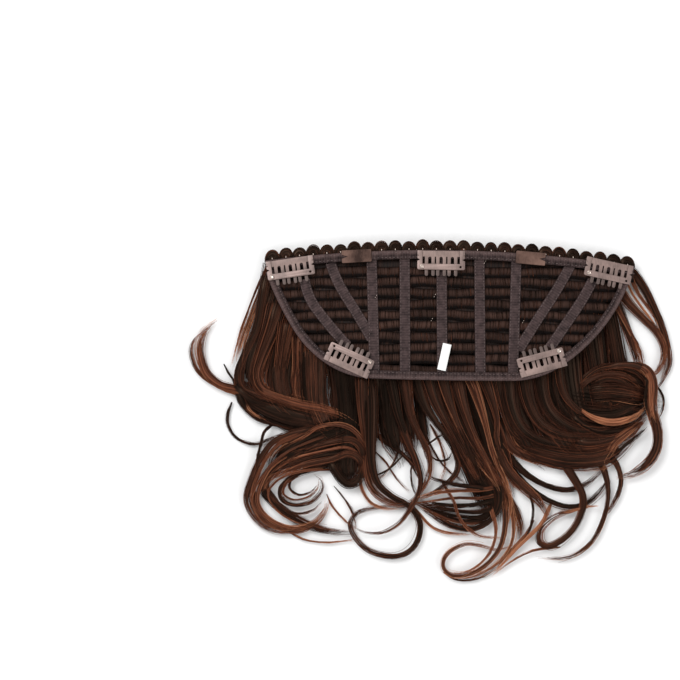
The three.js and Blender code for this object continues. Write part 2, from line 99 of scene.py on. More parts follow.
def walk(x, y, heading, bends, stride, turn_step):
    """Points (x, y, heading) along a chain of arcs, each arc a run and a turn."""
    path = [(x, y, heading)]
    for run, turn in bends:
        steps = math.ceil(max(run / stride, abs(turn) / turn_step))
        bend = turn / steps
        half = math.radians(abs(bend)) / 2
        chord = run / steps * (math.sin(half) / half if half else 1)
        for _ in range(steps):
            way = math.radians(heading + bend / 2)
            x += chord * math.cos(way)
            y += chord * math.sin(way)
            heading += bend
            path.append((x, y, heading))
    return path


def lengths_along(path):
    done = [0.0]
    for before, after in zip(path, path[1:]):
        done.append(done[-1] + math.dist(before[:2], after[:2]))
    return done


lower_path = walk(*LOWER_START, LOWER_BENDS, LOWER_STRIDE, TURN_STEP)
lower_x = [point[0] for point in lower_path]
lower_y = [point[1] for point in lower_path]


def lower_edge(x):
    return float(np.interp(x, lower_x, lower_y))


print("drawing moved by", round(MOVE_X / MM, 2), round(MOVE_Y / MM, 2), "mm")

# %% [markdown]
# ## Camera, floor and light
# The photograph looks straight down on the piece, so the camera hangs above the middle of its frame with the
# looped edge towards the top. The floor is white, and the light is a bright room with one large soft lamp.

# %% Camera, floor and light
VIEW_MIDDLE = (-59.16, 47.6)
VIEW_WIDE = 462.4
CAMERA_HIGH = 1.25
FLOOR_HALF = 3
FLOOR_Z = -0.0004
FLOOR_WHITE = (0.93, 0.93, 0.93, 1)
ROOM_LIGHT = 0.62

camera_data = bpy.data.cameras.new("camera")
camera_data.sensor_width = 36
camera_data.lens = camera_data.sensor_width * CAMERA_HIGH / (VIEW_WIDE * MM)
camera = bpy.data.objects.new("camera", camera_data)
camera.location = place(*VIEW_MIDDLE, CAMERA_HIGH / MM)
bpy.context.scene.collection.objects.link(camera)
bpy.context.scene.camera = camera
bpy.context.scene.view_settings.view_transform = "Standard"


def new_object(name, mesh):
    piece = bpy.data.objects.new(name, mesh)
    bpy.context.scene.collection.objects.link(piece)
    return piece


def mesh_of(name, points, faces):
    mesh = bpy.data.meshes.new(name)
    mesh.from_pydata([tuple(point) for point in points], [], faces)
    mesh.update()
    return mesh


def area_lamp(name, at, size, power):
    lamp = bpy.data.lights.new(name, "AREA")
    lamp.size = size
    lamp.energy = power
    lamp_object = new_object(name, lamp)
    lamp_object.location = at
    lamp_object.rotation_euler = (-Vector(at)).to_track_quat("-Z", "Y").to_euler()


corners = [(-1, -1), (1, -1), (1, 1), (-1, 1)]
floor_points = [(FLOOR_HALF * x, FLOOR_HALF * y, FLOOR_Z) for x, y in corners]
floor = new_object("floor", mesh_of("floor", floor_points, [(0, 1, 2, 3)]))
area_lamp("key_lamp", (-0.7, 0.9, 1.5), 0.9, 22)
area_lamp("fill_lamp", (1.0, -0.6, 1.4), 1.2, 8)
world = bpy.data.worlds.new("studio")
world.use_nodes = True
world.node_tree.nodes["Background"].inputs["Color"].default_value = (1, 1, 1, 1)
world.node_tree.nodes["Background"].inputs["Strength"].default_value = ROOM_LIGHT
bpy.context.scene.world = world
print("camera lens", round(camera_data.lens, 1), "mm")

# %% [markdown]
# ## Sums on node sockets
# Shader and geometry trees share their maths nodes, so one small class serves both. It wraps a socket,
# and the usual operators add a Math node each. Any other node comes from add_node, which sets a node's
# settings before its inputs.

# %% A socket that takes part in sums


class Wire:
    """An output socket of a node tree that Python's operators work on."""

    def __init__(self, tree, socket):
        self.tree = tree
        self.socket = socket

    def math(self, operation, first, second=0.0):
        return add_node(self.tree, "ShaderNodeMath", {"operation": operation}, {0: first, 1: second})

    def __add__(self, other):
        return self.math("ADD", self, other)

    __radd__ = __add__

    def __sub__(self, other):
        return self.math("SUBTRACT", self, other)

    def __rsub__(self, other):
        return self.math("SUBTRACT", other, self)

    def __mul__(self, other):
        return self.math("MULTIPLY", self, other)

    __rmul__ = __mul__

    def __truediv__(self, other):
        return self.math("DIVIDE", self, other)

    def __pow__(self, other):
        return self.math("POWER", self, other)

    def sine(self):
        return self.math("SINE", self)

    def snapped(self, step):
        return self.math("SNAP", self, step)

    def over(self, limit):
        return self.math("GREATER_THAN", self, limit)

    def bounded(self, low, high):
        return self.math("MINIMUM", self.math("MAXIMUM", self, low), high)


def named_socket(sockets, key):
    if isinstance(key, int):
        return sockets[key]
    return next(socket for socket in sockets if socket.enabled and key in (socket.name, socket.identifier))


def add_node(tree, kind, settings=None, inputs=None, output=None):
    node = tree.nodes.new(kind)
    for name, value in (settings or {}).items():
        if name == "stops":
            set_stops(node.color_ramp, value)
        else:
            setattr(node, name, value)
    for key, value in (inputs or {}).items():
        socket = named_socket(node.inputs, key)
        if isinstance(value, Wire):
            tree.links.new(value.socket, socket)
        else:
            socket.default_value = value
    if output is None:
        return Wire(tree, next((socket for socket in node.outputs if socket.enabled), None))
    return Wire(tree, named_socket(node.outputs, output))


def set_stops(ramp, stops):
    while len(ramp.elements) < len(stops):
        ramp.elements.new(1)
    for element, (position, colour) in zip(ramp.elements, stops):
        element.position = position
        element.color = colour


def colour(red, green, blue):
    """A colour given in screen values of 0 to 255, as the linear colour that shaders use."""
    shares = [value / 255 for value in (red, green, blue)]
    linear = [share / 12.92 if share <= 0.04045 else ((share + 0.055) / 1.055) ** 2.4 for share in shares]
    return (*linear, 1)


def mixed(factor, first, second):
    inputs = {"Factor": factor, "A": first, "B": second}
    return add_node(factor.tree, "ShaderNodeMix", {"data_type": "RGBA"}, inputs)


def ramped(stops, value):
    inputs = {"Fac": value}
    return add_node(value.tree, "ShaderNodeValToRGB", {"stops": stops}, inputs, "Color")


def new_finish(name, roughness, constants=None):
    """A material with its tree and its main shader node; constants go straight on the shader's sockets."""
    material = bpy.data.materials.new(name)
    material.use_nodes = True
    shader = material.node_tree.nodes["Principled BSDF"]
    shader.inputs["Roughness"].default_value = roughness
    for socket, value in (constants or {}).items():
        shader.inputs[socket].default_value = value
    return material, material.node_tree, shader


def feed(tree, wire, shader, socket):
    tree.links.new(wire.socket, shader.inputs[socket])


def bump(tree, height, strength, distance):
    inputs = {"Strength": strength, "Distance": distance, "Height": height}
    return add_node(tree, "ShaderNodeBump", {}, inputs)


def noise(tree, vector, scale, detail=2.0):
    inputs = {"Vector": vector, "Scale": scale, "Detail": detail}
    return add_node(tree, "ShaderNodeTexNoise", {}, inputs, "Fac")


def object_place(tree):
    return add_node(tree, "ShaderNodeTexCoord", {}, {}, "Object")


def coordinate(vector, axis):
    """One coordinate of a vector."""
    return add_node(vector.tree, "ShaderNodeSeparateXYZ", {}, {0: vector}, axis)


def joined(tree, **parts):
    """A vector from its coordinates X, Y and Z, each zero unless it is given."""
    return add_node(tree, "ShaderNodeCombineXYZ", {}, parts)


def stretched(tree, vector, scale):
    return add_node(tree, "ShaderNodeMapping", {}, {"Vector": vector, "Scale": scale})


floor_finish, _, floor_shader = new_finish("white_floor", 0.9)
floor_shader.inputs["Base Color"].default_value = FLOOR_WHITE
floor.data.materials.append(floor_finish)
print("floor finish ready")

# %% [markdown]
# ## The hair's finish
# Real hair is dark at the root, and here the roots are darkened further as a painted shadow under the
# base. Each strand has its own tone, here from near black to copper. The strands carry a map: its first
# coordinate is the strand's tone, its second the way from root to tip. A ramp on the tone then colours every
# strand, and it bakes cleanly, because equal places on the map have equal colours.

# %% Hair finish
HAIR_TONES = [
    (0.0, colour(15, 10, 8)),
    (0.2, colour(37, 24, 19)),
    (0.45, colour(78, 45, 34)),
    (0.7, colour(140, 82, 58)),
    (1.0, colour(208, 143, 105)),
]
ROOT_DARK_AND_SHADOW = 0.5
SHEEN = 0.6
SHEEN_ACROSS = 45
SHEEN_ALONG = 5
HAIR_MAP = "OFBake"
HAIR_SHINE = {"Specular IOR Level": 0.16, "Specular Tint": (1.0, 0.66, 0.46, 1.0)}


def hair_finish(name, roughness):
    material, tree, shader = new_finish(name, roughness, HAIR_SHINE)
    strand_map = add_node(tree, "ShaderNodeUVMap", {"uv_map": HAIR_MAP})
    tone = coordinate(strand_map, "X")
    along = coordinate(strand_map, "Y")
    # Painted sheen: noise along and across the map lightens and darkens bands of the strands as highlights.
    sheen_place = joined(tree, X=tone * SHEEN_ACROSS, Y=along * SHEEN_ALONG)
    lit = tone + SHEEN * (noise(tree, sheen_place, 1.0, 2.0) - 0.5)
    ramp = ramped(HAIR_TONES, lit.bounded(0.0, 1.0))
    # Darker towards the root: partly the hair's own colour, partly a painted shadow under the base.
    shade = ROOT_DARK_AND_SHADOW + (1 - ROOT_DARK_AND_SHADOW) * along ** 0.5
    shaded = add_node(tree, "ShaderNodeVectorMath", {"operation": "SCALE"}, {0: ramp, "Scale": shade})
    feed(tree, shaded, shader, "Base Color")
    return material


strand_finish = hair_finish("hair_strands", 0.34)
print("hair finish with", len(HAIR_TONES), "tones")

# %% [markdown]
# ## The strands
# A lock could be one solid, but hair is read by its strands. Each lock is a guide line with its width and
# thickness at every point. A Geometry Nodes tree copies the guide once for each strand, moves every copy
# to its own place across the lock, lets it wander a little, trims it to its own length and gives it a
# thin three-sided body. Light comes through the outermost strands, the loose ones and the tips, so their
# colour is painted lighter there, as light shining through.

# %% The strand tree


def stored(tree, geometry, name, value, domain="CURVE", kind="FLOAT"):
    inputs = {"Geometry": geometry, "Name": name, "Value": value}
    return add_node(tree, "GeometryNodeStoreNamedAttribute", {"domain": domain, "data_type": kind}, inputs)


def attribute(tree, name, kind="FLOAT"):
    return add_node(tree, "GeometryNodeInputNamedAttribute", {"data_type": kind}, {"Name": name}, "Attribute")


def random_value(tree, low, high, seed):
    return add_node(tree, "FunctionNodeRandomValue", {}, {"Min": low, "Max": high, "Seed": seed})


def vector_sum(tree, first, second):
    return add_node(tree, "ShaderNodeVectorMath", {"operation": "ADD"}, {0: first, 1: second})


def vector_times(tree, vector, factor):
    return add_node(tree, "ShaderNodeVectorMath", {"operation": "SCALE"}, {0: vector, "Scale": factor})


def new_tree(name, inputs):
    """A geometry tree with its named inputs, the group input's wires by name, and its output node."""
    tree = bpy.data.node_groups.new(name, "GeometryNodeTree")
    for label, kind in inputs:
        tree.interface.new_socket(label, in_out="INPUT", socket_type=kind)
    tree.interface.new_socket("Geometry", in_out="OUTPUT", socket_type="NodeSocketGeometry")
    source = tree.nodes.new("NodeGroupInput")
    wires = {label: Wire(tree, source.outputs[label]) for label, _ in inputs}
    return tree, wires, tree.nodes.new("NodeGroupOutput")


def finish_tree(tree, geometry, material, output):
    """The end of every tree: instances made real, smooth faces and the finish."""
    real = add_node(tree, "GeometryNodeRealizeInstances", {}, {"Geometry": geometry})
    smooth = add_node(tree, "GeometryNodeSetShadeSmooth", {}, {"Geometry": real})
    painted = add_node(tree, "GeometryNodeSetMaterial", {}, {"Geometry": smooth, "Material": material})
    tree.links.new(painted.socket, output.inputs[0])


STRAND_INPUTS = [
    ("Guides", "NodeSocketGeometry"),
    ("Radius", "NodeSocketFloat"),
    ("Wander", "NodeSocketFloat"),
    ("Shortest", "NodeSocketFloat"),
    ("Streaks", "NodeSocketFloat"),
    ("Tone spread", "NodeSocketFloat"),
    ("Seed", "NodeSocketInt"),
    ("Finish", "NodeSocketMaterial"),
]
STRAND_SIDES = 3
STRAND_CHANCES = [("side", -1, 1), ("lift", -0.25, 1), ("own", 0, 1), ("stray", 0, 1)]
STRAND_LOWEST = 0.3
REACH_SEED = 9
STREAK_OWN = 0.45
LIFT_ROUND = 0.8
DRIFT_ALONG = 2.2
DRIFT_OWN = 40
DRIFT_SIDE = 6
WANDER_ROOT = 0.12
TIP_THIN = 0.72
LOT_CLUMP = 17.3
LOT_TONE = 53
TONE_LOW = 0.02
TONE_HIGH = 0.97
STRAY_SHARE = 0.88
STRAY_MORE = 2.4
CLUMP_SHARE = 0.6
EDGE_PAINTED_LIGHT = 0.22
STRAY_PAINTED_LIGHT = 0.16
TIP_PAINTED_LIGHT = 0.26
MAP_WIDTH = 0.012


def build_strand_tree():
    tree, given, output = new_tree("strands", STRAND_INPUTS)
    lines = add_node(tree, "GeometryNodeMeshToCurve", {}, {"Mesh": given["Guides"]})
    amount = attribute(tree, "strands", "INT")
    copies = add_node(tree, "GeometryNodeDuplicateElements", {"domain": "SPLINE"},
                      {"Geometry": lines, "Amount": amount}, "Geometry")
    for number, (name, low, high) in enumerate(STRAND_CHANCES):
        copies = stored(tree, copies, name, random_value(tree, low, high, given["Seed"] + number))
    reach = add_node(tree, "FunctionNodeRandomValue", {},
                     {"Min": given["Shortest"], "Max": 1.0, "Seed": given["Seed"] + REACH_SEED})
    trimmed = add_node(tree, "GeometryNodeTrimCurve", {}, {"Curve": copies, "End": reach})
    side = attribute(tree, "side")
    along = attribute(tree, "along")
    own = attribute(tree, "own")
    clump = side.snapped(given["Streaks"])
    streaked = STREAK_OWN * side + (1 - STREAK_OWN) * clump
    across = vector_times(tree, attribute(tree, "across", "FLOAT_VECTOR"), streaked)
    height = attribute(tree, "rise") * attribute(tree, "lift") * (1 - LIFT_ROUND * side * side) ** 0.5
    upward = joined(tree, Z=height)
    seed_place = joined(tree, X=along * DRIFT_ALONG, Y=own * DRIFT_OWN, Z=side * DRIFT_SIDE)
    drift_inputs = {"Vector": seed_place, "Scale": 1.0, "Detail": 1.5}
    drift = add_node(tree, "ShaderNodeTexNoise", {}, drift_inputs, "Color")
    centred = vector_sum(tree, drift, (-0.5, -0.5, -0.5))
    strayed = attribute(tree, "stray").over(STRAY_SHARE)
    loose = 1 + STRAY_MORE * strayed
    wandered = vector_times(tree, centred, given["Wander"] * loose * (WANDER_ROOT + along))
    offset = vector_sum(tree, vector_sum(tree, across, upward), wandered)
    spread = add_node(tree, "GeometryNodeSetPosition", {}, {"Geometry": trimmed, "Offset": offset})
    at = add_node(tree, "GeometryNodeInputPosition")
    flat = add_node(tree, "ShaderNodeVectorMath", {"operation": "MULTIPLY"}, {0: at, 1: (1.0, 1.0, 0.0)})
    high = coordinate(at, "Z").bounded(STRAND_LOWEST * MM, attribute(tree, "roof"))
    kept = vector_sum(tree, flat, joined(tree, Z=high))
    laid = add_node(tree, "GeometryNodeSetPosition", {}, {"Geometry": spread, "Position": kept})
    ring_inputs = {"Resolution": STRAND_SIDES, "Radius": 1.0}
    ring = add_node(tree, "GeometryNodeCurvePrimitiveCircle", {}, ring_inputs, "Curve")
    turn = add_node(tree, "GeometryNodeInputIndex")
    ring = stored(tree, ring, "round", turn / STRAND_SIDES, "POINT")
    thin = given["Radius"] * (1 - TIP_THIN * along ** 3)
    inputs = {"Curve": laid, "Profile Curve": ring, "Scale": thin, "Fill Caps": True}
    bodies = add_node(tree, "GeometryNodeCurveToMesh", {}, inputs)
    base_tone = attribute(tree, "tone")
    lot_key = clump * LOT_CLUMP + base_tone * LOT_TONE
    lot = add_node(tree, "ShaderNodeTexWhiteNoise", {"noise_dimensions": "1D"}, {"W": lot_key}, "Value")
    uneven = given["Tone spread"] * (CLUMP_SHARE * lot + (1 - CLUMP_SHARE) * own - 0.5)
    # Painted light: the outermost strands, the loose ones and the tips are lighter, as light shining through
    # them.
    tone = base_tone + uneven + EDGE_PAINTED_LIGHT * side ** 4 + STRAY_PAINTED_LIGHT * strayed + TIP_PAINTED_LIGHT * along ** 3
    tone_place = tone.bounded(TONE_LOW, TONE_HIGH) + MAP_WIDTH * attribute(tree, "round")
    strand_map = joined(tree, X=tone_place, Y=along)
    mapped = stored(tree, bodies, HAIR_MAP, strand_map, "CORNER", "FLOAT2")
    finish_tree(tree, mapped, given["Finish"], output)
    return tree


strand_tree = build_strand_tree()
print("strand tree:", len(strand_tree.nodes), "nodes")

# %% Guides and finished pieces
FREE_HEIGHT = 60


def set_attribute(mesh, name, kind, values):
    layer = mesh.attributes.new(name, kind, "POINT")
    field = "vector" if kind == "FLOAT_VECTOR" else "value"
    layer.data.foreach_set(field, np.asarray(values).ravel())


def new_guide(strands, tone, full_to=0.6):
    """An empty guide. full_to is the share of its length over which the lock's middle stays full."""
    lists = {label: [] for label in ("points", "across", "rise", "along", "roof")}
    return {**lists, "strands": strands, "tone": tone, "full_to": full_to}


def add_to_guide(guide, point, across, rise, along, roof=FREE_HEIGHT):
    """One more point: half the width as a vector, half the thickness, and the height that it stays under."""
    guide["points"].append(point)
    guide["across"].append([MM * part for part in across])
    guide["rise"].append(MM * rise)
    guide["along"].append(along)
    guide["roof"].append(MM * roof)


def guide_mesh(name, guides):
    """One mesh of lines, with what the strand tree reads stored at every point."""
    mesh = line_mesh(name, [guide["points"] for guide in guides])
    set_attribute(mesh, "across", "FLOAT_VECTOR", [value for guide in guides for value in guide["across"]])
    for label in ("rise", "along", "roof"):
        set_attribute(mesh, label, "FLOAT", [value for guide in guides for value in guide[label]])
    for label, kind in (("strands", "INT"), ("tone", "FLOAT")):
        set_attribute(mesh, label, kind, [guide[label] for guide in guides for _ in guide["points"]])
    return mesh


def line_mesh(name, lines):
    """One mesh of separate lines of points."""
    points = [tuple(point) for line in lines for point in line]
    edges = []
    start = 0
    for line in lines:
        edges += [(start + step, start + step + 1) for step in range(len(line) - 1)]
        start += len(line)
    mesh = bpy.data.meshes.new(name)
    mesh.from_pydata(points, edges, [])
    return mesh


def grown(name, mesh, tree, values):
    """A plain mesh piece made by a geometry tree from a source mesh."""
    source = new_object(name + "_source", mesh)
    modifier = source.modifiers.new("grow", "NODES")
    modifier.node_group = tree
    for item in tree.interface.items_tree:
        if item.in_out == "INPUT" and item.name in values:
            modifier[item.identifier] = values[item.name]
    source.update_tag()
    evaluated = source.evaluated_get(bpy.context.evaluated_depsgraph_get())
    result = bpy.data.meshes.new_from_object(evaluated)
    result.name = name
    source.modifiers.remove(modifier)
    bpy.data.objects.remove(source)
    bpy.data.meshes.remove(mesh)
    kept = {HAIR_MAP, "position", "material_index", "sharp_face"}
    for label in [layer.name for layer in result.attributes]:
        if label not in kept and not label.startswith("."):
            result.attributes.remove(result.attributes[label])
    return new_object(name, result)


def triangles(piece):
    return sum(len(face.vertices) - 2 for face in piece.data.polygons)


def hand_in(piece, body, slot, *nodes):
    """Every finished piece rides on a body and hides the nodes that it stands for. Its slot is not used."""
    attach(piece, body)
    if nodes:
        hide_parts(*nodes)
    return piece


def facing_out(mesh):
    """Merges doubles and turns all faces of a closed mesh outwards."""
    work = bmesh.new()
    work.from_mesh(mesh)
    bmesh.ops.remove_doubles(work, verts=work.verts, dist=1e-7)
    bmesh.ops.recalc_face_normals(work, faces=work.faces)
    work.to_mesh(mesh)
    work.free()
    return mesh


added = {}
print("helpers ready")

# %% [markdown]
# ## The locks
# The curls are what a buyer sees, so each lock of the photograph has a row: its width in millimetres at
# the root and in the curl, how high it lies, its tone, and the pixels of the photograph that its middle
# line passes through. The locks are grouped by the part of the piece they belong to, and each group is
# one mesh. The sheets lie lowest. Their ragged ends are hidden under the curls.

# %% Lock table
PHOTO_MM = 0.68
PHOTO_ORIGIN = (427, 410)
LOCK_COLUMNS = ("root", "curl", "level", "tone", "pixels")
LOCKS = {
    "hair_sheets": {
        "left_back": (15, 20, 0, 0.2, [(281, 268), (272, 305), (264, 335), (256, 362), (252, 385),
            (268, 404)]),
        "left_mid": (26, 22, 0, 0.24, [(294, 300), (286, 345), (280, 378), (288, 404), (308, 420)]),
        "left_low": (24, 21, 0, 0.22, [(314, 342), (314, 378), (316, 405), (326, 428), (340, 448)]),
        "left_dark": (24, 22, 0, 0.1, [(345, 358), (348, 395), (350, 430), (350, 480)]),
        "left_fold": (8, 17, 0, 0.16, [(238, 384), (252, 400), (276, 411), (305, 419), (345, 428)]),
        "left_fold_low": (6, 12, 0, 0.12, [(262, 412), (285, 422), (312, 428), (350, 436)]),
        "dark_node": (18, 18, 1, 0.04, [(352, 426), (348, 448), (347, 468), (352, 488)]),
        "middle_left": (24, 6, 1, 0.12, [(372, 362), (374, 398), (373, 430), (368, 462), (372, 486)]),
        "middle": (24, 6, 1, 0.08, [(396, 364), (398, 398), (402, 426), (412, 456), (420, 480)]),
        "middle_right": (22, 7, 1, 0.08, [(418, 364), (420, 392), (420, 412), (424, 436), (428, 460)]),
        "middle_top_left": (24, 16, 1, 0.07, [(384, 362), (387, 400), (391, 432), (403, 468)]),
        "middle_top": (24, 13, 1, 0.06, [(400, 362), (403, 396), (408, 422), (415, 452)]),
        "bundle_wedge": (14, 9, 1, 0.05, [(444, 414), (456, 442), (467, 466), (477, 490), (488, 518)]),
        "bundle_end": (10, 13, 0, 0.06, [(468, 462), (484, 486), (493, 502), (497, 524)]),
        "bundle_bed": (26, 20, 0, 0.16, [(440, 366), (447, 395), (457, 420), (468, 445), (477, 468),
            (486, 492)]),
        "bundle_side": (26, 20, 0, 0.16, [(470, 366), (478, 395), (488, 425), (496, 450), (504, 474),
            (512, 498)]),
        "sweep_bed": (26, 22, 0, 0.14, [(505, 364), (510, 392), (518, 420), (530, 446), (548, 468)]),
        "sweep_side": (26, 24, 0, 0.14, [(535, 356), (540, 388), (550, 418), (564, 444), (586, 470)]),
        "right_bed": (29, 24, 0, 0.14, [(562, 345), (567, 380), (574, 410), (586, 440), (608, 468)]),
        "sweep_fill": (10, 16, 1, 0.28, [(500, 436), (530, 449), (565, 457), (598, 456), (622, 444),
            (640, 430)]),
        "right_fill": (22, 18, 0, 0.18, [(588, 322), (594, 355), (600, 388), (608, 416), (620, 448)]),
        "right_side": (13, 13, 0, 0.2, [(604, 302), (612, 335), (618, 365), (624, 395), (630, 420)]),
        "swirl_bed": (18, 20, 0, 0.11, [(352, 424), (326, 434), (300, 446), (280, 460), (268, 478)]),
        "swirl_low": (14, 12, 0, 0.14, [(352, 444), (330, 456), (305, 464), (284, 474)]),
        "roll_bed": (24, 28, 0, 0.12, [(562, 388), (590, 390), (616, 394), (640, 398), (662, 402)]),
        "roll_fill": (10, 16, 2, 0.12, [(562, 402), (584, 413), (610, 416), (632, 408), (654, 392)]),
    },
    "hair_left": {
        "left_edge": (9, 7, 3, 0.28, [(270, 264), (264, 298), (259, 328), (248, 352), (240, 372),
            (243, 388), (262, 396), (290, 405), (320, 412), (360, 428)]),
        "left_inner": (15, 8, 4, 0.36, [(284, 285), (273, 325), (263, 352), (257, 374), (264, 390),
            (288, 399), (318, 406), (362, 424)]),
        "left_fall_a": (13, 9, 3, 0.44, [(290, 316), (284, 350), (281, 378), (286, 398), (305, 410),
            (330, 418)]),
        "left_fall_b": (12, 8, 3, 0.5, [(302, 332), (300, 365), (297, 390), (304, 408), (322, 420),
            (340, 430)]),
        "left_fall_c": (12, 8, 2, 0.44, [(316, 342), (317, 375), (315, 400), (324, 418), (340, 432)]),
        "left_fall_d": (12, 8, 2, 0.28, [(332, 350), (336, 388), (338, 412), (346, 432)]),
        "left_band": (4, 6, 7, 0.54, [(244, 382), (276, 396), (300, 404), (322, 408), (344, 416),
            (366, 434)]),
        "left_hook": (6, 6, 3, 0.5, [(262, 400), (246, 391), (232, 388), (219, 384), (206, 372), (200, 352),
            (203, 335), (211, 325), (220, 319)]),
        "left_hook_out": (5, 2.4, 4, 0.3, [(258, 396), (236, 388), (215, 384), (198, 371), (191, 352),
            (195, 339), (206, 330)]),
        "left_knot": (4, 4, 8, 0.06, [(233, 379), (242, 391), (256, 401), (284, 410)]),
        "left_fringe": (3, 1.6, 2, 0.6, [(264, 398), (240, 395), (222, 389), (206, 378)]),
        "left_wisp": (2.4, 1.2, 2, 0.5, [(268, 266), (258, 286), (249, 308), (241, 330), (235, 352),
            (231, 368)]),
        "left_wisp_in": (2, 1.2, 2, 0.55, [(266, 272), (256, 300), (247, 324), (240, 345), (236, 364)]),
        "left_wisp_pale": (1.8, 1.4, 1, 0.84, [(267, 280), (256, 306), (246, 332), (239, 356)]),
        "left_wisp_low": (1.8, 1.4, 1, 0.74, [(264, 292), (254, 318), (246, 340), (241, 364)]),
        "node_wisp": (2, 1.4, 4, 0.14, [(224, 364), (229, 373), (238, 385), (248, 397)]),
        "left_under": (7, 4, 3, 0.14, [(236, 382), (243, 402), (256, 416), (274, 423), (298, 426),
            (325, 424)]),
        "left_under_copper": (3, 2, 4, 0.58, [(244, 396), (250, 410), (264, 419), (282, 423)]),
        "left_ring": (2.2, 2, 1, 0.2, [(232, 402), (228, 413), (228, 424), (234, 435), (244, 442),
            (257, 444), (272, 438), (290, 430)]),
    },
    "hair_swirl": {
        "swirl_outer": (7, 4.4, 5, 0.28, [(366, 454), (362, 437), (346, 428), (322, 428), (294, 433),
            (273, 442), (261, 458), (252, 478), (247, 496), (251, 511), (263, 525), (281, 532),
            (304, 530)]),
        "swirl_outer_in": (5, 2.6, 6, 0.48, [(345, 432), (308, 434), (283, 441), (268, 456), (258, 476),
            (253, 496), (257, 511), (268, 523), (284, 529), (308, 527)]),
        "swirl_copper": (4, 2.6, 6, 0.5, [(320, 446), (292, 452), (272, 465), (262, 482), (258, 498),
            (263, 511), (276, 522), (293, 527), (311, 522), (322, 512), (327, 499)]),
        "swirl_dark": (9, 5, 4, 0.14, [(360, 446), (318, 450), (286, 460), (268, 476), (264, 490),
            (273, 502), (287, 513), (306, 524), (328, 531), (360, 533)]),
        "swirl_dark_in": (5, 2.6, 5, 0.3, [(340, 452), (305, 455), (278, 468), (268, 484), (275, 499),
            (290, 511), (310, 522), (332, 529), (354, 531)]),
        "swirl_band": (6, 4.4, 8, 0.38, [(362, 478), (360, 460), (348, 453), (330, 459), (304, 464),
            (284, 471), (270, 479), (262, 492)]),
        "swirl_band_top": (4, 2.6, 9, 0.4, [(364, 462), (362, 442), (352, 429), (336, 424), (318, 427),
            (303, 437), (284, 446), (268, 460)]),
        "swirl_band_mid": (6, 4.4, 7, 0.32, [(364, 476), (363, 453), (352, 440), (330, 442), (302, 450),
            (282, 460), (266, 476)]),
        "swirl_band_thin": (2.6, 2, 9, 0.56, [(360, 474), (358, 455), (346, 447), (326, 450), (300, 456),
            (282, 464), (268, 478)]),
        "swirl_thin_high": (2, 1.4, 9, 0.52, [(344, 430), (312, 440), (286, 452), (268, 468), (256, 486),
            (252, 502), (260, 518)]),
        "swirl_thin_low": (2, 1.4, 8, 0.5, [(336, 470), (302, 470), (280, 478), (269, 492), (276, 508),
            (292, 520), (314, 528)]),
        "swirl_band_dark": (4, 2.6, 8, 0.08, [(360, 452), (330, 453), (304, 459), (282, 468), (266, 486)]),
        "swirl_ring": (5, 2.4, 5, 0.22, [(338, 464), (314, 468), (294, 475), (281, 487), (283, 499),
            (296, 504), (311, 501), (321, 491), (321, 480), (312, 474)]),
        "swirl_ring_in": (3, 1.4, 6, 0.4, [(302, 473), (287, 482), (284, 493), (294, 499), (308, 496),
            (317, 488), (319, 479)]),
        "swirl_ring_thin": (2, 1.2, 5, 0.3, [(292, 476), (290, 487), (299, 494), (311, 491), (318, 483)]),
        "swirl_ring_low": (3, 1.6, 4, 0.3, [(270, 490), (281, 506), (296, 513), (312, 510), (323, 500)]),
        "swirl_low_band": (6, 5, 3, 0.48, [(254, 490), (256, 506), (266, 519), (281, 527), (299, 529),
            (315, 522), (325, 510), (328, 497)]),
        "swirl_cross": (2.4, 1.8, 8, 0.18, [(276, 422), (265, 431), (261, 445), (257, 462), (252, 480)]),
        "swirl_end": (1.6, 1.4, 2, 0.58, [(327, 494), (332, 505), (341, 516), (351, 525), (358, 528)]),
        "swirl_under": (2, 1.6, 1, 0.56, [(288, 531), (304, 539), (322, 542), (342, 541), (356, 539)]),
        "dark_roll": (11, 9, 2, 0.05, [(352, 366), (358, 410), (358, 445), (352, 468), (352, 485)]),
        "dark_roll_end": (6, 7, 6, 0.06, [(326, 450), (336, 470), (347, 482), (358, 478), (365, 458)]),
        "inner_left": (9, 5, 6, 0.36, [(362, 370), (363, 410), (366, 440), (366, 466), (370, 484),
            (381, 497), (398, 504), (418, 502)]),
        "inner_left_thin": (3, 2, 4, 0.58, [(362, 440), (360, 470), (362, 488), (371, 502), (386, 508),
            (404, 507)]),
    },
    "hair_middle": {
        "big_ring": (10, 3.4, 4, 0.2, [(368, 368), (371, 405), (371, 438), (372, 464), (378, 483),
            (392, 496), (407, 504), (418, 517), (420, 532), (413, 547), (400, 555), (384, 555), (367, 549),
            (355, 537), (350, 524), (356, 513), (371, 508), (406, 504)]),
        "ring_cross": (7, 2.6, 6, 0.28, [(396, 395), (404, 430), (414, 455), (420, 476), (418, 494),
            (409, 510), (397, 524), (380, 532), (363, 531), (353, 525)]),
        "node_dark": (8, 4, 5, 0.16, [(390, 372), (398, 412), (408, 440), (417, 462), (421, 480),
            (417, 496), (404, 506), (386, 507)]),
        "node_auburn": (9, 4.4, 7, 0.38, [(404, 372), (410, 412), (420, 435), (428, 452), (430, 468),
            (425, 484), (410, 504)]),
        "gap_strand": (1.6, 1.4, 4, 0.14, [(374, 476), (388, 469), (401, 457), (412, 444)]),
        "gap_band": (5, 3, 4, 0.12, [(374, 432), (390, 444), (402, 453), (413, 465), (421, 482)]),
        "gap_thin": (1.4, 1.2, 3, 0.16, [(414, 452), (411, 470), (412, 485), (418, 500)]),
        "gap_ring": (9, 3.4, 5, 0.2, [(415, 370), (423, 400), (433, 418), (446, 436), (456, 454),
            (457, 470), (447, 483), (430, 494), (410, 503)]),
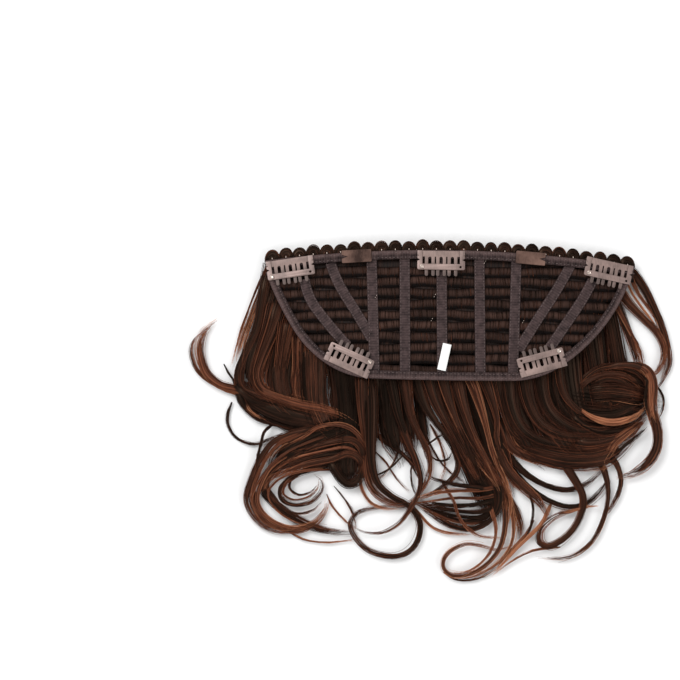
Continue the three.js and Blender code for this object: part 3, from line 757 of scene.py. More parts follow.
        "gap_hair": (1.4, 1.2, 3, 0.18, [(424, 447), (437, 437), (450, 430)]),
        "gap_small": (1.4, 1.2, 3, 0.18, [(428, 454), (438, 460), (448, 458), (453, 448)]),
        "gap_wisp_a": (1.6, 1.2, 1, 0.4, [(430, 424), (440, 444), (445, 464), (440, 486)]),
        "gap_wisp_b": (1.4, 1.2, 1, 0.34, [(424, 430), (434, 452), (448, 470), (468, 484)]),
        "gap_wisp_c": (1.4, 1.2, 1, 0.4, [(376, 452), (386, 462), (396, 478), (410, 492)]),
        "gap_wisp_d": (1.4, 1.2, 1, 0.34, [(400, 440), (396, 458), (386, 472), (374, 482)]),
        "gap_wisp_e": (1.4, 1.2, 1, 0.44, [(334, 486), (344, 498), (352, 512), (356, 528)]),
    },
    "hair_bundle": {
        "bundle_a": (11, 5, 6, 0.3, [(426, 370), (434, 398), (445, 420), (457, 441), (468, 462), (480, 481),
            (496, 496)]),
        "bundle_b": (10, 4, 7, 0.34, [(440, 370), (448, 400), (457, 424), (469, 446), (482, 465),
            (494, 483), (503, 504)]),
        "bundle_c": (10, 4.4, 8, 0.38, [(454, 370), (461, 400), (470, 427), (481, 451), (493, 473),
            (503, 493), (506, 518)]),
        "bundle_d": (8, 3, 9, 0.5, [(466, 370), (476, 396), (483, 418), (488, 438), (494, 458), (504, 480),
            (510, 502), (506, 528)]),
        "bundle_e": (8, 3.2, 8, 0.36, [(480, 370), (490, 398), (496, 420), (496, 440), (501, 460),
            (511, 480), (528, 497)]),
        "bundle_f": (9, 5, 6, 0.28, [(494, 370), (501, 402), (510, 428), (524, 441), (542, 448),
            (566, 452)]),
        "bundle_right": (9, 7, 5, 0.36, [(490, 436), (502, 462), (514, 478), (528, 491), (541, 505),
            (548, 518)]),
        "bundle_mass": (12, 6, 2, 0.28, [(486, 468), (500, 488), (512, 504), (520, 524), (518, 540)]),
        "arc_dark": (8, 4, 5, 0.14, [(484, 462), (497, 482), (499, 502), (490, 519), (472, 528), (451, 525),
            (431, 514), (412, 501)]),
        "arc_dark_in": (6, 3, 4, 0.12, [(476, 470), (492, 488), (494, 504), (484, 517), (466, 521),
            (448, 517), (430, 509), (412, 499)]),
        "arc_top": (4, 3, 7, 0.12, [(500, 490), (478, 487), (456, 484), (436, 479), (424, 474)]),
        "fan_high": (3, 2.2, 7, 0.56, [(508, 484), (480, 489), (454, 490), (432, 493), (408, 502)]),
        "fan_mid": (3, 2, 7, 0.44, [(508, 491), (480, 497), (454, 497), (432, 500), (408, 504)]),
        "fan_low": (4, 2.6, 6, 0.2, [(505, 501), (480, 511), (454, 510), (432, 506), (410, 501)]),
        "fan_dark": (4, 2.6, 6, 0.05, [(506, 494), (480, 503), (454, 505), (432, 503), (410, 500)]),
        "fan_dark_low": (4, 2.6, 5, 0.1, [(502, 504), (480, 516), (454, 515), (432, 509), (410, 501)]),
        "fan_thin": (2, 1.4, 5, 0.5, [(490, 520), (470, 523), (448, 519), (430, 511), (412, 502)]),
        "curve_copper": (2.4, 1.8, 8, 0.52, [(442, 482), (453, 500), (458, 515), (468, 528), (483, 536),
            (506, 537)]),
        "under_copper": (2, 1.8, 2, 0.58, [(414, 506), (428, 523), (440, 530), (456, 533), (474, 534)]),
        "low_ring": (5, 2.6, 5, 0.42, [(496, 474), (504, 500), (505, 524), (500, 546), (487, 563),
            (470, 573), (454, 575), (444, 569), (443, 559), (451, 549), (466, 543), (482, 545), (498, 549),
            (516, 544)]),
        "low_ring_in": (3.4, 1.8, 6, 0.58, [(484, 490), (493, 516), (495, 535), (489, 552), (477, 565),
            (462, 572), (446, 571)]),
        "low_ring_out": (4, 2, 4, 0.62, [(506, 490), (513, 518), (512, 540), (503, 557), (487, 570),
            (469, 577), (450, 577)]),
        "low_tail": (1.6, 1.4, 1, 0.3, [(443, 572), (455, 579), (470, 580), (486, 575), (502, 564)]),
        "copper_tail": (3, 2.8, 4, 0.76, [(552, 500), (542, 521), (531, 533), (518, 545), (508, 556),
            (499, 566), (490, 578)]),
        "copper_tail_in": (2, 1.8, 3, 0.62, [(534, 520), (526, 533), (514, 546), (504, 558), (494, 571)]),
        "copper_tail_thin": (2, 1.5, 3, 0.58, [(560, 547), (538, 549), (523, 554), (510, 562), (495, 573)]),
        "thin_arc": (2, 1.6, 5, 0.18, [(522, 478), (531, 500), (532, 516), (527, 533), (512, 547)]),
    },
    "hair_fall": {
        "sweep_a": (12, 8, 5, 0.18, [(505, 370), (509, 402), (520, 427), (540, 441), (566, 448), (592, 453),
            (614, 460)]),
        "sweep_b": (12, 8, 6, 0.24, [(522, 366), (527, 398), (538, 420), (557, 432), (582, 435), (606, 431),
            (630, 423)]),
        "sweep_c": (12, 8, 6, 0.2, [(538, 360), (541, 392), (550, 412), (568, 426), (592, 431), (616, 428),
            (640, 416)]),
        "sweep_d": (11, 7, 6, 0.12, [(556, 352), (555, 388), (563, 408), (580, 421), (604, 427)]),
        "sweep_low": (9, 6, 4, 0.46, [(500, 418), (510, 444), (528, 456), (554, 463), (584, 466),
            (608, 468)]),
        "arc_high": (6, 3.6, 4, 0.18, [(502, 440), (510, 457), (524, 472), (544, 484), (564, 489),
            (582, 485), (597, 474), (607, 463)]),
        "arc_low": (6, 3.6, 2, 0.17, [(506, 462), (522, 482), (542, 497), (564, 506), (584, 504),
            (598, 493), (606, 479), (604, 464)]),
        "leaf_ring": (7, 4.4, 5, 0.27, [(552, 436), (562, 460), (573, 478), (581, 493), (581, 508),
            (574, 525), (562, 538), (548, 545), (539, 541), (540, 529), (551, 518), (567, 511),
            (588, 506)]),
        "leaf_copper": (3, 2, 6, 0.7, [(558, 513), (574, 509), (586, 506), (598, 505)]),
        "long_right": (5, 2.6, 3, 0.32, [(590, 446), (602, 466), (607, 484), (607, 501), (602, 520),
            (592, 540), (577, 553), (560, 558), (534, 557)]),
        "right_drop": (5, 3, 4, 0.28, [(604, 448), (616, 464), (620, 478), (618, 492), (611, 506),
            (602, 519)]),
        "drop_loop": (2, 1.6, 5, 0.26, [(600, 466), (609, 461), (617, 468), (619, 482)]),
    },
    "hair_right": {
        "right_outer": (8, 5, 2, 0.28, [(620, 260), (638, 280), (651, 303), (661, 326), (667, 348),
            (668, 364), (662, 380), (654, 393)]),
        "right_auburn": (8, 5, 3, 0.42, [(612, 282), (626, 302), (640, 316), (654, 330), (662, 344),
            (663, 358), (657, 371), (644, 382)]),
        "right_auburn_thin": (3, 2, 2, 0.58, [(626, 268), (634, 288), (644, 303), (655, 318), (664, 338)]),
        "right_wisp": (1.8, 1.4, 2, 0.84, [(620, 268), (630, 291), (640, 306), (652, 322), (660, 336)]),
        "right_wisp_low": (1.8, 1.4, 2, 0.74, [(616, 276), (628, 299), (640, 313), (654, 328)]),
        "right_inner": (8, 5.5, 3, 0.26, [(604, 282), (617, 306), (625, 326), (632, 345), (637, 362),
            (640, 380)]),
        "right_inner_copper": (3, 2.2, 4, 0.54, [(612, 302), (628, 330), (637, 346), (641, 360),
            (642, 378)]),
        "right_inner_low": (7, 5, 2, 0.3, [(598, 296), (609, 322), (615, 342), (622, 360), (630, 378)]),
        "right_sheet": (12, 10, 2, 0.54, [(594, 306), (601, 335), (600, 358), (590, 380)]),
        "right_sheet_low": (10, 8, 2, 0.34, [(578, 326), (586, 352), (586, 372), (576, 392)]),
        "roll_top": (5, 4, 8, 0.3, [(572, 402), (575, 388), (586, 375), (600, 367), (618, 366), (634, 371),
            (645, 383), (648, 398), (640, 414)]),
        "roll_top_in": (4, 3, 9, 0.36, [(573, 400), (580, 385), (594, 376), (611, 373), (627, 377),
            (637, 388), (636, 402)]),
        "roll_ring": (5, 4, 7, 0.28, [(584, 400), (590, 386), (604, 379), (620, 381), (630, 391), (627, 403),
            (613, 410), (597, 408), (585, 396)]),
        "roll_back": (9, 10, 2, 0.14, [(606, 374), (622, 375), (636, 381), (645, 394), (648, 412)]),
        "roll_core": (14, 14, 4, 0.26, [(582, 394), (602, 391), (622, 392), (652, 398)]),
        "roll_bottom": (7, 4, 7, 0.26, [(556, 352), (558, 378), (564, 396), (577, 410), (592, 419),
            (610, 422), (628, 417), (643, 406), (652, 388)]),
        "roll_lip": (1.5, 5, 12, 0.7, [(572, 402), (586, 414), (602, 420), (618, 420), (634, 414),
            (648, 402)]),
        "roll_bottom_dark": (7, 6, 6, 0.12, [(564, 402), (576, 420), (594, 430), (614, 431), (632, 424),
            (647, 410)]),
        "roll_join": (12, 9, 4, 0.28, [(566, 440), (590, 443), (612, 438), (630, 429), (646, 416)]),
        "roll_front": (2, 5, 11, 0.34, [(588, 375), (606, 367), (622, 364), (636, 366), (645, 374),
            (647, 388), (646, 402), (650, 418), (657, 434)]),
        "roll_front_wide": (3, 8, 11, 0.54, [(622, 366), (636, 365), (646, 372), (650, 386), (649, 402),
            (652, 420), (658, 438)]),
        "roll_front_thin": (3, 2.6, 14, 0.72, [(634, 364), (645, 376), (647, 392), (649, 410), (657, 428)]),
        "roll_front_dark": (2.4, 2, 14, 0.1, [(636, 366), (643, 380), (642, 396), (645, 412), (653, 430)]),
        "right_thick": (8, 7, 7, 0.34, [(645, 398), (652, 416), (656, 434), (654, 450), (645, 464),
            (632, 473), (615, 478)]),
        "right_gap_arc": (3, 2, 6, 0.12, [(612, 458), (622, 446), (634, 437), (647, 425)]),
        "right_tuft": (3, 6, 6, 0.58, [(642, 422), (626, 432), (613, 443), (606, 458), (602, 472)]),
        "right_thin": (1.6, 1.4, 4, 0.18, [(654, 382), (662, 396), (662, 408), (656, 422)]),
    },
}
print("locks:", sum(len(group) for group in LOCKS.values()))

# %% Guides of the locks
LINE_STEPS = 14
GUIDE_STRIDE = 6
GUIDE_TURN = 8
LOCK_THICKNESS = 0.5
LOCK_THINNEST = 1.6
LOCK_THICKEST = 8
LOCK_GATHER = 0.45
LOCK_TAPER_FROM = 0.7
LOCK_TAPER = 0.7
LOCK_START = 0.35
LOCK_START_RUN = 0.12
LOCK_SETTLE = 0.5
LOCK_LOWEST = 0.5
ROOT_HANG = 0.4
ROOT_FALL = 0.5
OPEN_RISE = 0.25
SHEET_FULL_TO = 0.7
LOCK_FULL_TO = 0.6
ROOF_GAP = 0.6
ROOF_MARGIN = 1
STRANDS_PER_MM = 6
STRANDS_FEWEST = 7


def eased(share):
    share = min(max(share, 0), 1)
    return share * share * (3 - 2 * share)


def from_photo(pixel):
    """A pixel of the photograph as a place in the drawing."""
    return np.array([(pixel[0] - PHOTO_ORIGIN[0]) * PHOTO_MM, (PHOTO_ORIGIN[1] - pixel[1]) * PHOTO_MM])


def smooth_line(stops):
    """Close points on a smooth line through all stops, whose way at a stop is set by the stops beside it."""
    ends = [2 * stops[0] - stops[1], *stops, 2 * stops[-1] - stops[-2]]
    line = []
    for a, b, c, d in zip(ends, ends[1:], ends[2:], ends[3:]):
        for t in np.arange(LINE_STEPS) / LINE_STEPS:
            line.append(b + t / 2 * (c - a + t * (2 * a - 5 * b + 4 * c - d + t * (3 * (b - c) + d - a))))
    return np.array([*line, stops[-1]])


def thinned(line):
    """The points (x, y, heading) of a line that its bends need."""
    ways = np.gradient(line, axis=0)
    headings = np.degrees(np.unwrap(np.arctan2(ways[:, 1], ways[:, 0])))
    path = [(*line[0], headings[0])]
    for point, heading in zip(line[1:-1], headings[1:-1]):
        far = math.dist(point, path[-1][:2]) > GUIDE_STRIDE
        if far or abs(heading - path[-1][2]) > GUIDE_TURN:
            path.append((*point, heading))
    return [*path, (*line[-1], headings[-1])]


def roof(x, y):
    """How high hair may lie: under the base where there is base, and free beside it."""
    inside = TOP_LEFT < x < TOP_RIGHT and lower_edge(x) - ROOF_MARGIN < y < top_edge(x)
    return lie(x, y) - ROOF_GAP if inside else FREE_HEIGHT


def lock_guide(row, full_to):
    """The guide of one lock: its centre line, and how wide and thick it is along the way.

    A lock that starts under the base hangs down from it.
    One that starts in the open comes up from under the others.
    """
    path = thinned(smooth_line([from_photo(pixel) for pixel in row["pixels"]]))
    strands = max(round(STRANDS_PER_MM * (row["root"] + row["curl"]) / 2), STRANDS_FEWEST)
    guide = new_guide(strands, row["tone"], full_to)
    done = lengths_along(path)
    rooted = roof(*path[0][:2]) < FREE_HEIGHT
    hang = ROOT_HANG * lie(*path[0][:2]) if rooted else 0
    for distance, (x, y, heading) in zip(done, path):
        along = distance / done[-1]
        gathered = row["root"] + (row["curl"] - row["root"]) * eased(along / LOCK_GATHER)
        tapered = 1 - LOCK_TAPER * eased((along - LOCK_TAPER_FROM) / (1 - LOCK_TAPER_FROM))
        started = 1 if rooted else LOCK_START + (1 - LOCK_START) * eased(along / LOCK_START_RUN)
        half = gathered / 2 * tapered * started
        top = roof(x, y)
        thick = min(max(2 * half * LOCK_THICKNESS, LOCK_THINNEST), LOCK_THICKEST, top - LOCK_LOWEST)
        raised = 1 if rooted else eased(along / OPEN_RISE)
        level = row["level"] * (1 - LOCK_SETTLE * eased(along)) * raised
        under = LOCK_LOWEST + level + hang * (1 - eased(along / ROOT_FALL))
        middle = min(under + thick / 2, top - thick / 2)
        turn = math.radians(heading)
        across = (-math.sin(turn) * half, math.cos(turn) * half, 0)
        add_to_guide(guide, place(x, y, middle), across, thick / 2, along, top)
    return guide


lock_guides = {}
for group, rows in LOCKS.items():
    full_to = SHEET_FULL_TO if group == "hair_sheets" else LOCK_FULL_TO
    lock_guides[group] = [lock_guide(dict(zip(LOCK_COLUMNS, row)), full_to) for row in rows.values()]
for number, (group, guides) in enumerate(lock_guides.items()):
    values = {
        "Radius": 0.00018,
        "Wander": 0.0034,
        "Shortest": 0.7 if group == "hair_sheets" else 0.84,
        "Streaks": 0.22,
        "Tone spread": 0.58,
        "Seed": 11 + 20 * number,
        "Finish": strand_finish,
    }
    piece = grown(group, guide_mesh(group + "_guides", guides), strand_tree, values)
    hand_in(piece, "base", "hair", "hair")
    added[group] = triangles(piece)
    print(group, len(guides), "locks", added[group], "triangles")

# %% [markdown]
# ## The middle of each lock
# Strands alone would let the floor shine through. So each lock has a smooth middle, a flattened tube
# inside it whose columns have tones of their own, set a little darker as painted shade. It uses the
# strands' map and finish, and reads as the many hairs further in.

# %% Middles of the locks
CORE_COLUMNS = 18
CORE_WIDE = 0.8
CORE_THICK = 0.66
CORE_TONES = 0.36
CORE_PAINTED_SHADE = 0.04
CORE_END = 0.86
CORE_POINT = 0.08
CORE_CAP = 0.02
CORE_START = 0.06
CORE_WAVE = 0.05
CORE_WAVES = 6


def core_size(along, full_to):
    """How full the middle is along the lock: pointed at both ends."""
    return max(eased(along / CORE_START) * eased((CORE_END - along) / (CORE_END - full_to)), CORE_POINT)


def core_mesh(name, guides):
    chance = np.random.default_rng(5)
    points, faces, maps = [], [], []
    angles = np.arange(CORE_COLUMNS) * 2 * math.pi / CORE_COLUMNS
    for guide in guides:
        # The middle's tones sit a little below the lock's tone: painted shade of the hairs further in.
        tones = guide["tone"] - CORE_PAINTED_SHADE + CORE_TONES * (chance.random(CORE_COLUMNS) - 0.5)
        phases = chance.random(CORE_COLUMNS) * 2 * math.pi
        rings = sum(along < CORE_END for along in guide["along"])
        first = len(points)
        places = []
        for ring in range(rings):
            along = guide["along"][ring]
            full = core_size(along, guide["full_to"])
            middle = np.array(guide["points"][ring])
            across = np.array(guide["across"][ring]) * CORE_WIDE * full
            upward = np.array((0, 0, guide["rise"][ring] * CORE_THICK * full))
            points += [middle + across * math.cos(angle) + upward * math.sin(angle) for angle in angles]
            tone = np.clip(tones + CORE_WAVE * np.sin(CORE_WAVES * along + phases), TONE_LOW, TONE_HIGH)
            places.append([(value, along + CORE_CAP * math.sin(angle)) for value, angle in zip(tone, angles)])
        for ring in range(rings - 1):
            for i in range(CORE_COLUMNS):
                j = (i + 1) % CORE_COLUMNS
                here = first + ring * CORE_COLUMNS
                there = here + CORE_COLUMNS
                faces.append((here + i, here + j, there + j, there + i))
                maps += [places[ring][i], places[ring][j], places[ring + 1][j], places[ring + 1][i]]
        for ring in (0, rings - 1):
            faces.append(tuple(first + ring * CORE_COLUMNS + i for i in range(CORE_COLUMNS)))
            maps += places[ring]
    mesh = mesh_of(name, points, faces)
    mesh.uv_layers.new(name=HAIR_MAP).data.foreach_set("uv", np.array(maps).ravel())
    facing_out(mesh)
    mesh.shade_smooth()
    mesh.materials.append(strand_finish)
    return mesh


all_guides = [guide for guides in lock_guides.values() for guide in guides]
cores = hand_in(new_object("hair_cores", core_mesh("hair_cores", all_guides)), "base", "hair", "hair")
added["hair_cores"] = triangles(cores)
print("middles of the locks", added["hair_cores"], "triangles")

# %% [markdown]
# ## The bed of hair
# Under the base the hair lies in a thick dark bed, which shows only at the rim and from the side.
# A closed cushion-like mesh fills it up to the top band, and the sheets of strands hang in front of it.

# %% Bed of hair
BED_COLUMNS = 40
BED_ROWS = 10
BED_LOW = 0.4
BED_UNDER_BASE = 0.6
BED_BACK = 1.1
BED_BACK_RISE = 0.4
BED_BACK_SHARE = 0.1
BED_INSET = 2.5
BED_MIDDLE = 0.45
BED_ROUND = 0.35


def bed_mesh():
    points = []
    faces = []
    ring = 2 * BED_ROWS
    for column in range(BED_COLUMNS + 1):
        share = column / BED_COLUMNS
        x = TOP_LEFT + BED_INSET + (TOP_RIGHT - TOP_LEFT - 2 * BED_INSET) * share
        high = top_edge(x) - BED_BACK
        low = min(lower_edge(x) + BED_INSET, high - BED_INSET)
        for row in range(ring):
            over = row < BED_ROWS
            down = (row if over else ring - 1 - row) / (BED_ROWS - 1)
            y = high + (low - high) * down
            roll = math.sin(math.pi * max(down, 0.5)) ** BED_ROUND
            sunk = min(down / BED_BACK_SHARE, 1)
            top = lie(x, y) + BED_BACK_RISE - (BED_UNDER_BASE + BED_BACK_RISE) * sunk
            middle = BED_MIDDLE * top
            z = middle + (top - middle) * roll if over else middle - (middle - BED_LOW) * roll
            points.append(place(x, y, z))
    for column in range(BED_COLUMNS):
        for row in range(ring):
            a = column * ring + row
            b = column * ring + (row + 1) % ring
            faces.append((a, b, b + ring, a + ring))
    faces.append(tuple(range(ring - 1, -1, -1)))
    faces.append(tuple(BED_COLUMNS * ring + row for row in range(ring)))
    return points, faces


def bed_finish():
    material, tree, shader = new_finish("hair_bed", 0.6, {"Specular IOR Level": 0.15})
    lines = noise(tree, stretched(tree, object_place(tree), (900, 60, 900)), 1.0, 3.0)
    stops = [(0.3, colour(16, 10, 8)), (0.55, colour(34, 21, 16)), (0.75, colour(62, 37, 26))]
    feed(tree, ramped(stops, lines), shader, "Base Color")
    feed(tree, bump(tree, lines, 0.6, 0.0006), shader, "Normal")
    return material


bed = new_object("hair_bed", facing_out(mesh_of("hair_bed", *bed_mesh())))
bed.data.materials.append(bed_finish())
bed.data.shade_smooth()
hand_in(bed, "base", "hair", "hair")
added["hair_bed"] = triangles(bed)
print("bed of hair", added["hair_bed"], "triangles")

# %% [markdown]
# ## Strips that follow the base
# Tapes, bands, weft rows and the label are all strips: a flat profile carried along a path on the base
# surface. One function makes them, with a map in millimetres across and along, so that a weave can follow
# the strip.

# %% Strip maker
WEAVE_MAP = "weave"
RIB_THREADS = 1.9
RIM_AT = 4.8
RIM_HALF = 2.2
RIM_PAINTED_SHADE = 0.2
RIM_PAINTED_HIGHLIGHT = 0.6
WEAVE_SHARE = 0.3
RIB_SHARE = 0.25
DYE_SHARE = 1.5
CLOTH_TONE = 0.22
SHARP_ANGLE = math.radians(50)


def strip_point(x, y, heading, across, above, extra=0):
    """A point beside a path on the base: across is left of the heading, above is over the base surface."""
    turn = math.radians(heading)
    at_x = x - math.sin(turn) * across
    at_y = y + math.cos(turn) * across
    return place(at_x, at_y, lie(at_x, at_y) + above + extra)


def strip(name, path, profile, finish, lift=None):
    """A closed strip. lift(x, y, distance) raises it where it passes over something."""
    count = len(profile)
    edge = [0.0]
    for before, after in zip(profile, profile[1:] + profile[:1]):
        edge.append(edge[-1] + math.dist(before, after))
    done = lengths_along(path)
    points = []
    for distance, (x, y, heading) in zip(done, path):
        extra = lift(x, y, distance) if lift else 0
        points += [strip_point(x, y, heading, across, above, extra) for across, above in profile]
    faces = []
    maps = []
    for ring in range(len(path) - 1):
        here, there = ring * count, (ring + 1) * count
        for i in range(count):
            j = (i + 1) % count
            faces.append((here + i, here + j, there + j, there + i))
            maps += [(edge[i], done[ring]), (edge[i + 1], done[ring])]
            maps += [(edge[i + 1], done[ring + 1]), (edge[i], done[ring + 1])]
    last = (len(path) - 1) * count
    faces += [tuple(range(count)), tuple(last + i for i in range(count))]
    maps += profile + profile
    mesh = mesh_of(name, points, faces)
    mesh.uv_layers.new(name=WEAVE_MAP).data.foreach_set("uv", np.array(maps, dtype=float).ravel())
    facing_out(mesh)
    mesh.shade_smooth()
    mesh.set_sharp_from_angle(angle=SHARP_ANGLE)
    mesh.materials.append(finish)
    return new_object(name, mesh)


def rounded_flat(wide, under, thick, corner):
    """The profile of a flat tape with soft edges."""
    half = wide / 2
    top = under + thick
    return [
        (-half, under + corner), (-half + corner, under), (half - corner, under), (half, under + corner),
        (half, top - corner), (half - corner, top), (0, top + corner / 2), (-half + corner, top),
        (-half, top - corner),
    ]


def woven_finish(name, dark, light, thread, depth, painted_rim_light=False):
    """A plain weave of two crossed waves on the strip's own map, uneven dye and perhaps painted rim light."""
    material, tree, shader = new_finish(name, 0.85, {"Specular IOR Level": 0.14})
    strip_map = add_node(tree, "ShaderNodeUVMap", {"uv_map": WEAVE_MAP})
    across = coordinate(strip_map, "X")
    along = coordinate(strip_map, "Y")
    rate = 2 * math.pi / thread
    weave = 0.5 + 0.5 * (across * rate).sine() * (along * rate).sine()
    ribs = 0.5 + 0.5 * (along * rate / RIB_THREADS).sine()
    dye = noise(tree, object_place(tree), 300, 4.0)
    shade = WEAVE_SHARE * weave + RIB_SHARE * ribs + DYE_SHARE * (dye - 0.5) + CLOTH_TONE
    # Painted light: a highlight along the rounded outer fold, and painted shade over the rest of the strip.
    if painted_rim_light:
        from_rim = (across - RIM_AT) / RIM_HALF
        shade = shade - RIM_PAINTED_SHADE + RIM_PAINTED_HIGHLIGHT * (1 - from_rim * from_rim).bounded(0.0, 1.0)
    shade = shade.bounded(0.0, 1.0)
    feed(tree, mixed(shade, dark, light), shader, "Base Color")
    feed(tree, bump(tree, weave + 0.6 * dye, 0.7, depth), shader, "Normal")
    return material


tape_finish = woven_finish("woven_tape", colour(34, 27, 27), colour(86, 70, 69), 0.9, 0.0003)
binding_finish = woven_finish("woven_binding", colour(32, 24, 24), colour(88, 71, 69), 0.9, 0.0003, True)
label_finish = woven_finish("white_label", colour(232, 232, 230), colour(252, 252, 250), 0.6, 0.00012)
print("strips and weaves ready")

# %% [markdown]
# ## Stitches
# A sewn line is one small stitch many times over. The tree places a soft bead at an even pitch along each
# guide line and stretches it along the line.

# %% Stitch tree
STITCH_INPUTS = [
    ("Lines", "NodeSocketGeometry"),
    ("Pitch", "NodeSocketFloat"),
    ("Length", "NodeSocketFloat"),
    ("Thickness", "NodeSocketFloat"),
    ("Finish", "NodeSocketMaterial"),
]
STITCH_SEGMENTS = 6
STITCH_RINGS = 4


def build_stitch_tree():
    tree, given, output = new_tree("stitches", STITCH_INPUTS)
    lines = add_node(tree, "GeometryNodeMeshToCurve", {}, {"Mesh": given["Lines"]})
    node = tree.nodes.new("GeometryNodeCurveToPoints")
    node.mode = "LENGTH"
    tree.links.new(lines.socket, node.inputs["Curve"])
    tree.links.new(given["Pitch"].socket, named_socket(node.inputs, "Length"))
    ahead = Wire(tree, node.outputs["Tangent"])
    turned = add_node(tree, "FunctionNodeAxesToRotation", {"primary_axis": "X", "secondary_axis": "Z"},
                      {"Primary Axis": ahead, "Secondary Axis": (0.0, 0.0, 1.0)})
    bead = add_node(tree, "GeometryNodeMeshUVSphere", {},
                    {"Segments": STITCH_SEGMENTS, "Rings": STITCH_RINGS, "Radius": 0.5}, "Mesh")
    size = joined(tree, X=given["Length"], Y=given["Thickness"], Z=given["Thickness"])
    places = Wire(tree, node.outputs["Points"])
    inputs = {"Points": places, "Instance": bead, "Rotation": turned, "Scale": size}
    finish_tree(tree, add_node(tree, "GeometryNodeInstanceOnPoints", {}, inputs), given["Finish"], output)
    return tree


def thread_finish(name, dark, light):
    material, tree, shader = new_finish(name, 0.6)
    uneven = noise(tree, object_place(tree), 500, 2.0)
    feed(tree, mixed(uneven, dark, light), shader, "Base Color")
    return material


def sewn(name, lines, pitch, length, thickness, finish, slot):
    values = {"Pitch": pitch * MM, "Length": length * MM, "Thickness": thickness * MM, "Finish": finish}
    piece = grown(name, line_mesh(name + "_lines", lines), stitch_tree, values)
    hand_in(piece, "base", slot)
    added[name] = triangles(piece)
    print(name, added[name], "triangles")
    return piece


stitch_tree = build_stitch_tree()
tape_thread = thread_finish("tape_thread", colour(66, 54, 53), colour(116, 98, 95))
pale_thread = thread_finish("pale_thread", colour(190, 165, 152), colour(236, 220, 208))
print("stitch tree:", len(stitch_tree.nodes), "nodes")

# %% [markdown]
# ## The weft rows
# A weft is hair sewn along a line, and the rows overlap like roof tiles. Each row is a soft roll of
# combed hair with a painted highlight on it and painted shade in the crease to the next row, with a few
# loose fibres over it.

# %% Weft rows
WEFT_FIRST = 97.5
WEFT_PITCH = 7.4
WEFT_ROWS = 10
WEFT_DEEP = 7.1
WEFT_BOW = 0.0002
WEFT_PROFILE = [
    (0, 0.1), (0, 0.5), (-0.7, 1.15), (-1.9, 1.62), (-3.4, 1.72), (-5, 1.4), (-6.4, 0.85), (-WEFT_DEEP, 0.4),
    (-WEFT_DEEP, 0.1),
]
WEFT_STRIDE = 2
ROW_SAGS = [(0.6, 0.09, 1.9), (0.3, 0.27, 2.6)]
ROLL_AT = 3.4
ROLL_HALF = 3
ROLL_CLOUD = 1.7
ROLL_CLOUD_LESS = 0.1
HATCH_LEAST = 0.75
HATCH_SHARE = 0.4
# The colour of the crease between two rows: painted shade.
CREASE_PAINTED_SHADE = colour(15, 10, 9)
ROLL_COLOUR = colour(68, 48, 41)
FIBRE_SPACING = 3.2
FIBRE_STRANDS = 4
FIBRE_FALL = [(-0.3, 1.0), (-1.9, 1.7), (-3.6, 1.8), (-5.4, 1.3), (-7.6, 0.6)]
FIBRE_SWAY = 0.9
FIBRE_SWAY_RATE = 0.11
FIBRE_SWAY_STEP = 2.3
FIBRE_TONE = 0.13
FIBRE_TONE_WAVE = 0.05
FIBRE_TONE_RATE = 0.13
FIBRE_TONE_STEP = 1.3
FIBRE_OVERLAP = 0.62
FIBRE_RISE = 0.25
FIBRE_ALONG = 0.5


def row_y(row, x):
    sag = sum(deep * math.sin(rate * x + step * row) for deep, rate, step in ROW_SAGS)
    return WEFT_FIRST - WEFT_PITCH * row - WEFT_BOW * x * x + sag


def row_path(row):
    low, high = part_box(f"weft_{row + 1:02d}")
    from_x = (low.x - MOVE_X) / MM
    to_x = (high.x - MOVE_X) / MM
    columns = np.linspace(from_x, to_x, math.ceil((to_x - from_x) / WEFT_STRIDE) + 1)
    return [(x, row_y(row, x), 0) for x in columns]


def fibre_guides(row, path):
    first, last = path[0][0], path[-1][0]
    guides = []
    for number in range(math.floor((last - first) / FIBRE_SPACING)):
        x = first + FIBRE_SPACING * (number + 0.5)
        sway = FIBRE_SWAY * math.sin(FIBRE_SWAY_RATE * x + FIBRE_SWAY_STEP * row)
        tone = FIBRE_TONE + FIBRE_TONE_WAVE * math.sin(FIBRE_TONE_RATE * x + FIBRE_TONE_STEP * row)
        guide = new_guide(FIBRE_STRANDS, tone)
        for step, (across, above) in enumerate(FIBRE_FALL):
            share = step / (len(FIBRE_FALL) - 1)
            point = strip_point(x + sway * share, row_y(row, x), 0, across, above)
            half = FIBRE_OVERLAP * FIBRE_SPACING
            add_to_guide(guide, point, (half, 0, 0), FIBRE_RISE, FIBRE_ALONG * share)
        guides.append(guide)
    return guides


def weft_ribbon_finish():
    """Combed hair, with a painted highlight on each roll and painted shade in the crease between rows."""
    material, tree, shader = new_finish("weft_ribbon", 0.7, {"Specular IOR Level": 0.06})
    strip_map = add_node(tree, "ShaderNodeUVMap", {"uv_map": WEAVE_MAP})
    across = coordinate(strip_map, "X")
    at = object_place(tree)
    hatch = noise(tree, stretched(tree, at, (1300, 100, 200)), 1.0, 2.0)
    cloud = noise(tree, stretched(tree, at, (40, 110, 40)), 1.0, 2.0)
    # Painted highlight: lighter across the roll of each row, and the crease colour elsewhere is painted
    # shade.
    from_roll = (across - ROLL_AT) / ROLL_HALF
    combed = (ROLL_CLOUD * cloud - ROLL_CLOUD_LESS) * (HATCH_LEAST + HATCH_SHARE * hatch)
    lit = (1 - from_roll * from_roll).bounded(0.0, 1.0) * combed
    feed(tree, mixed(lit.bounded(0.0, 1.0), CREASE_PAINTED_SHADE, ROLL_COLOUR), shader, "Base Color")
    feed(tree, bump(tree, hatch, 0.6, 0.0003), shader, "Normal")
    return material


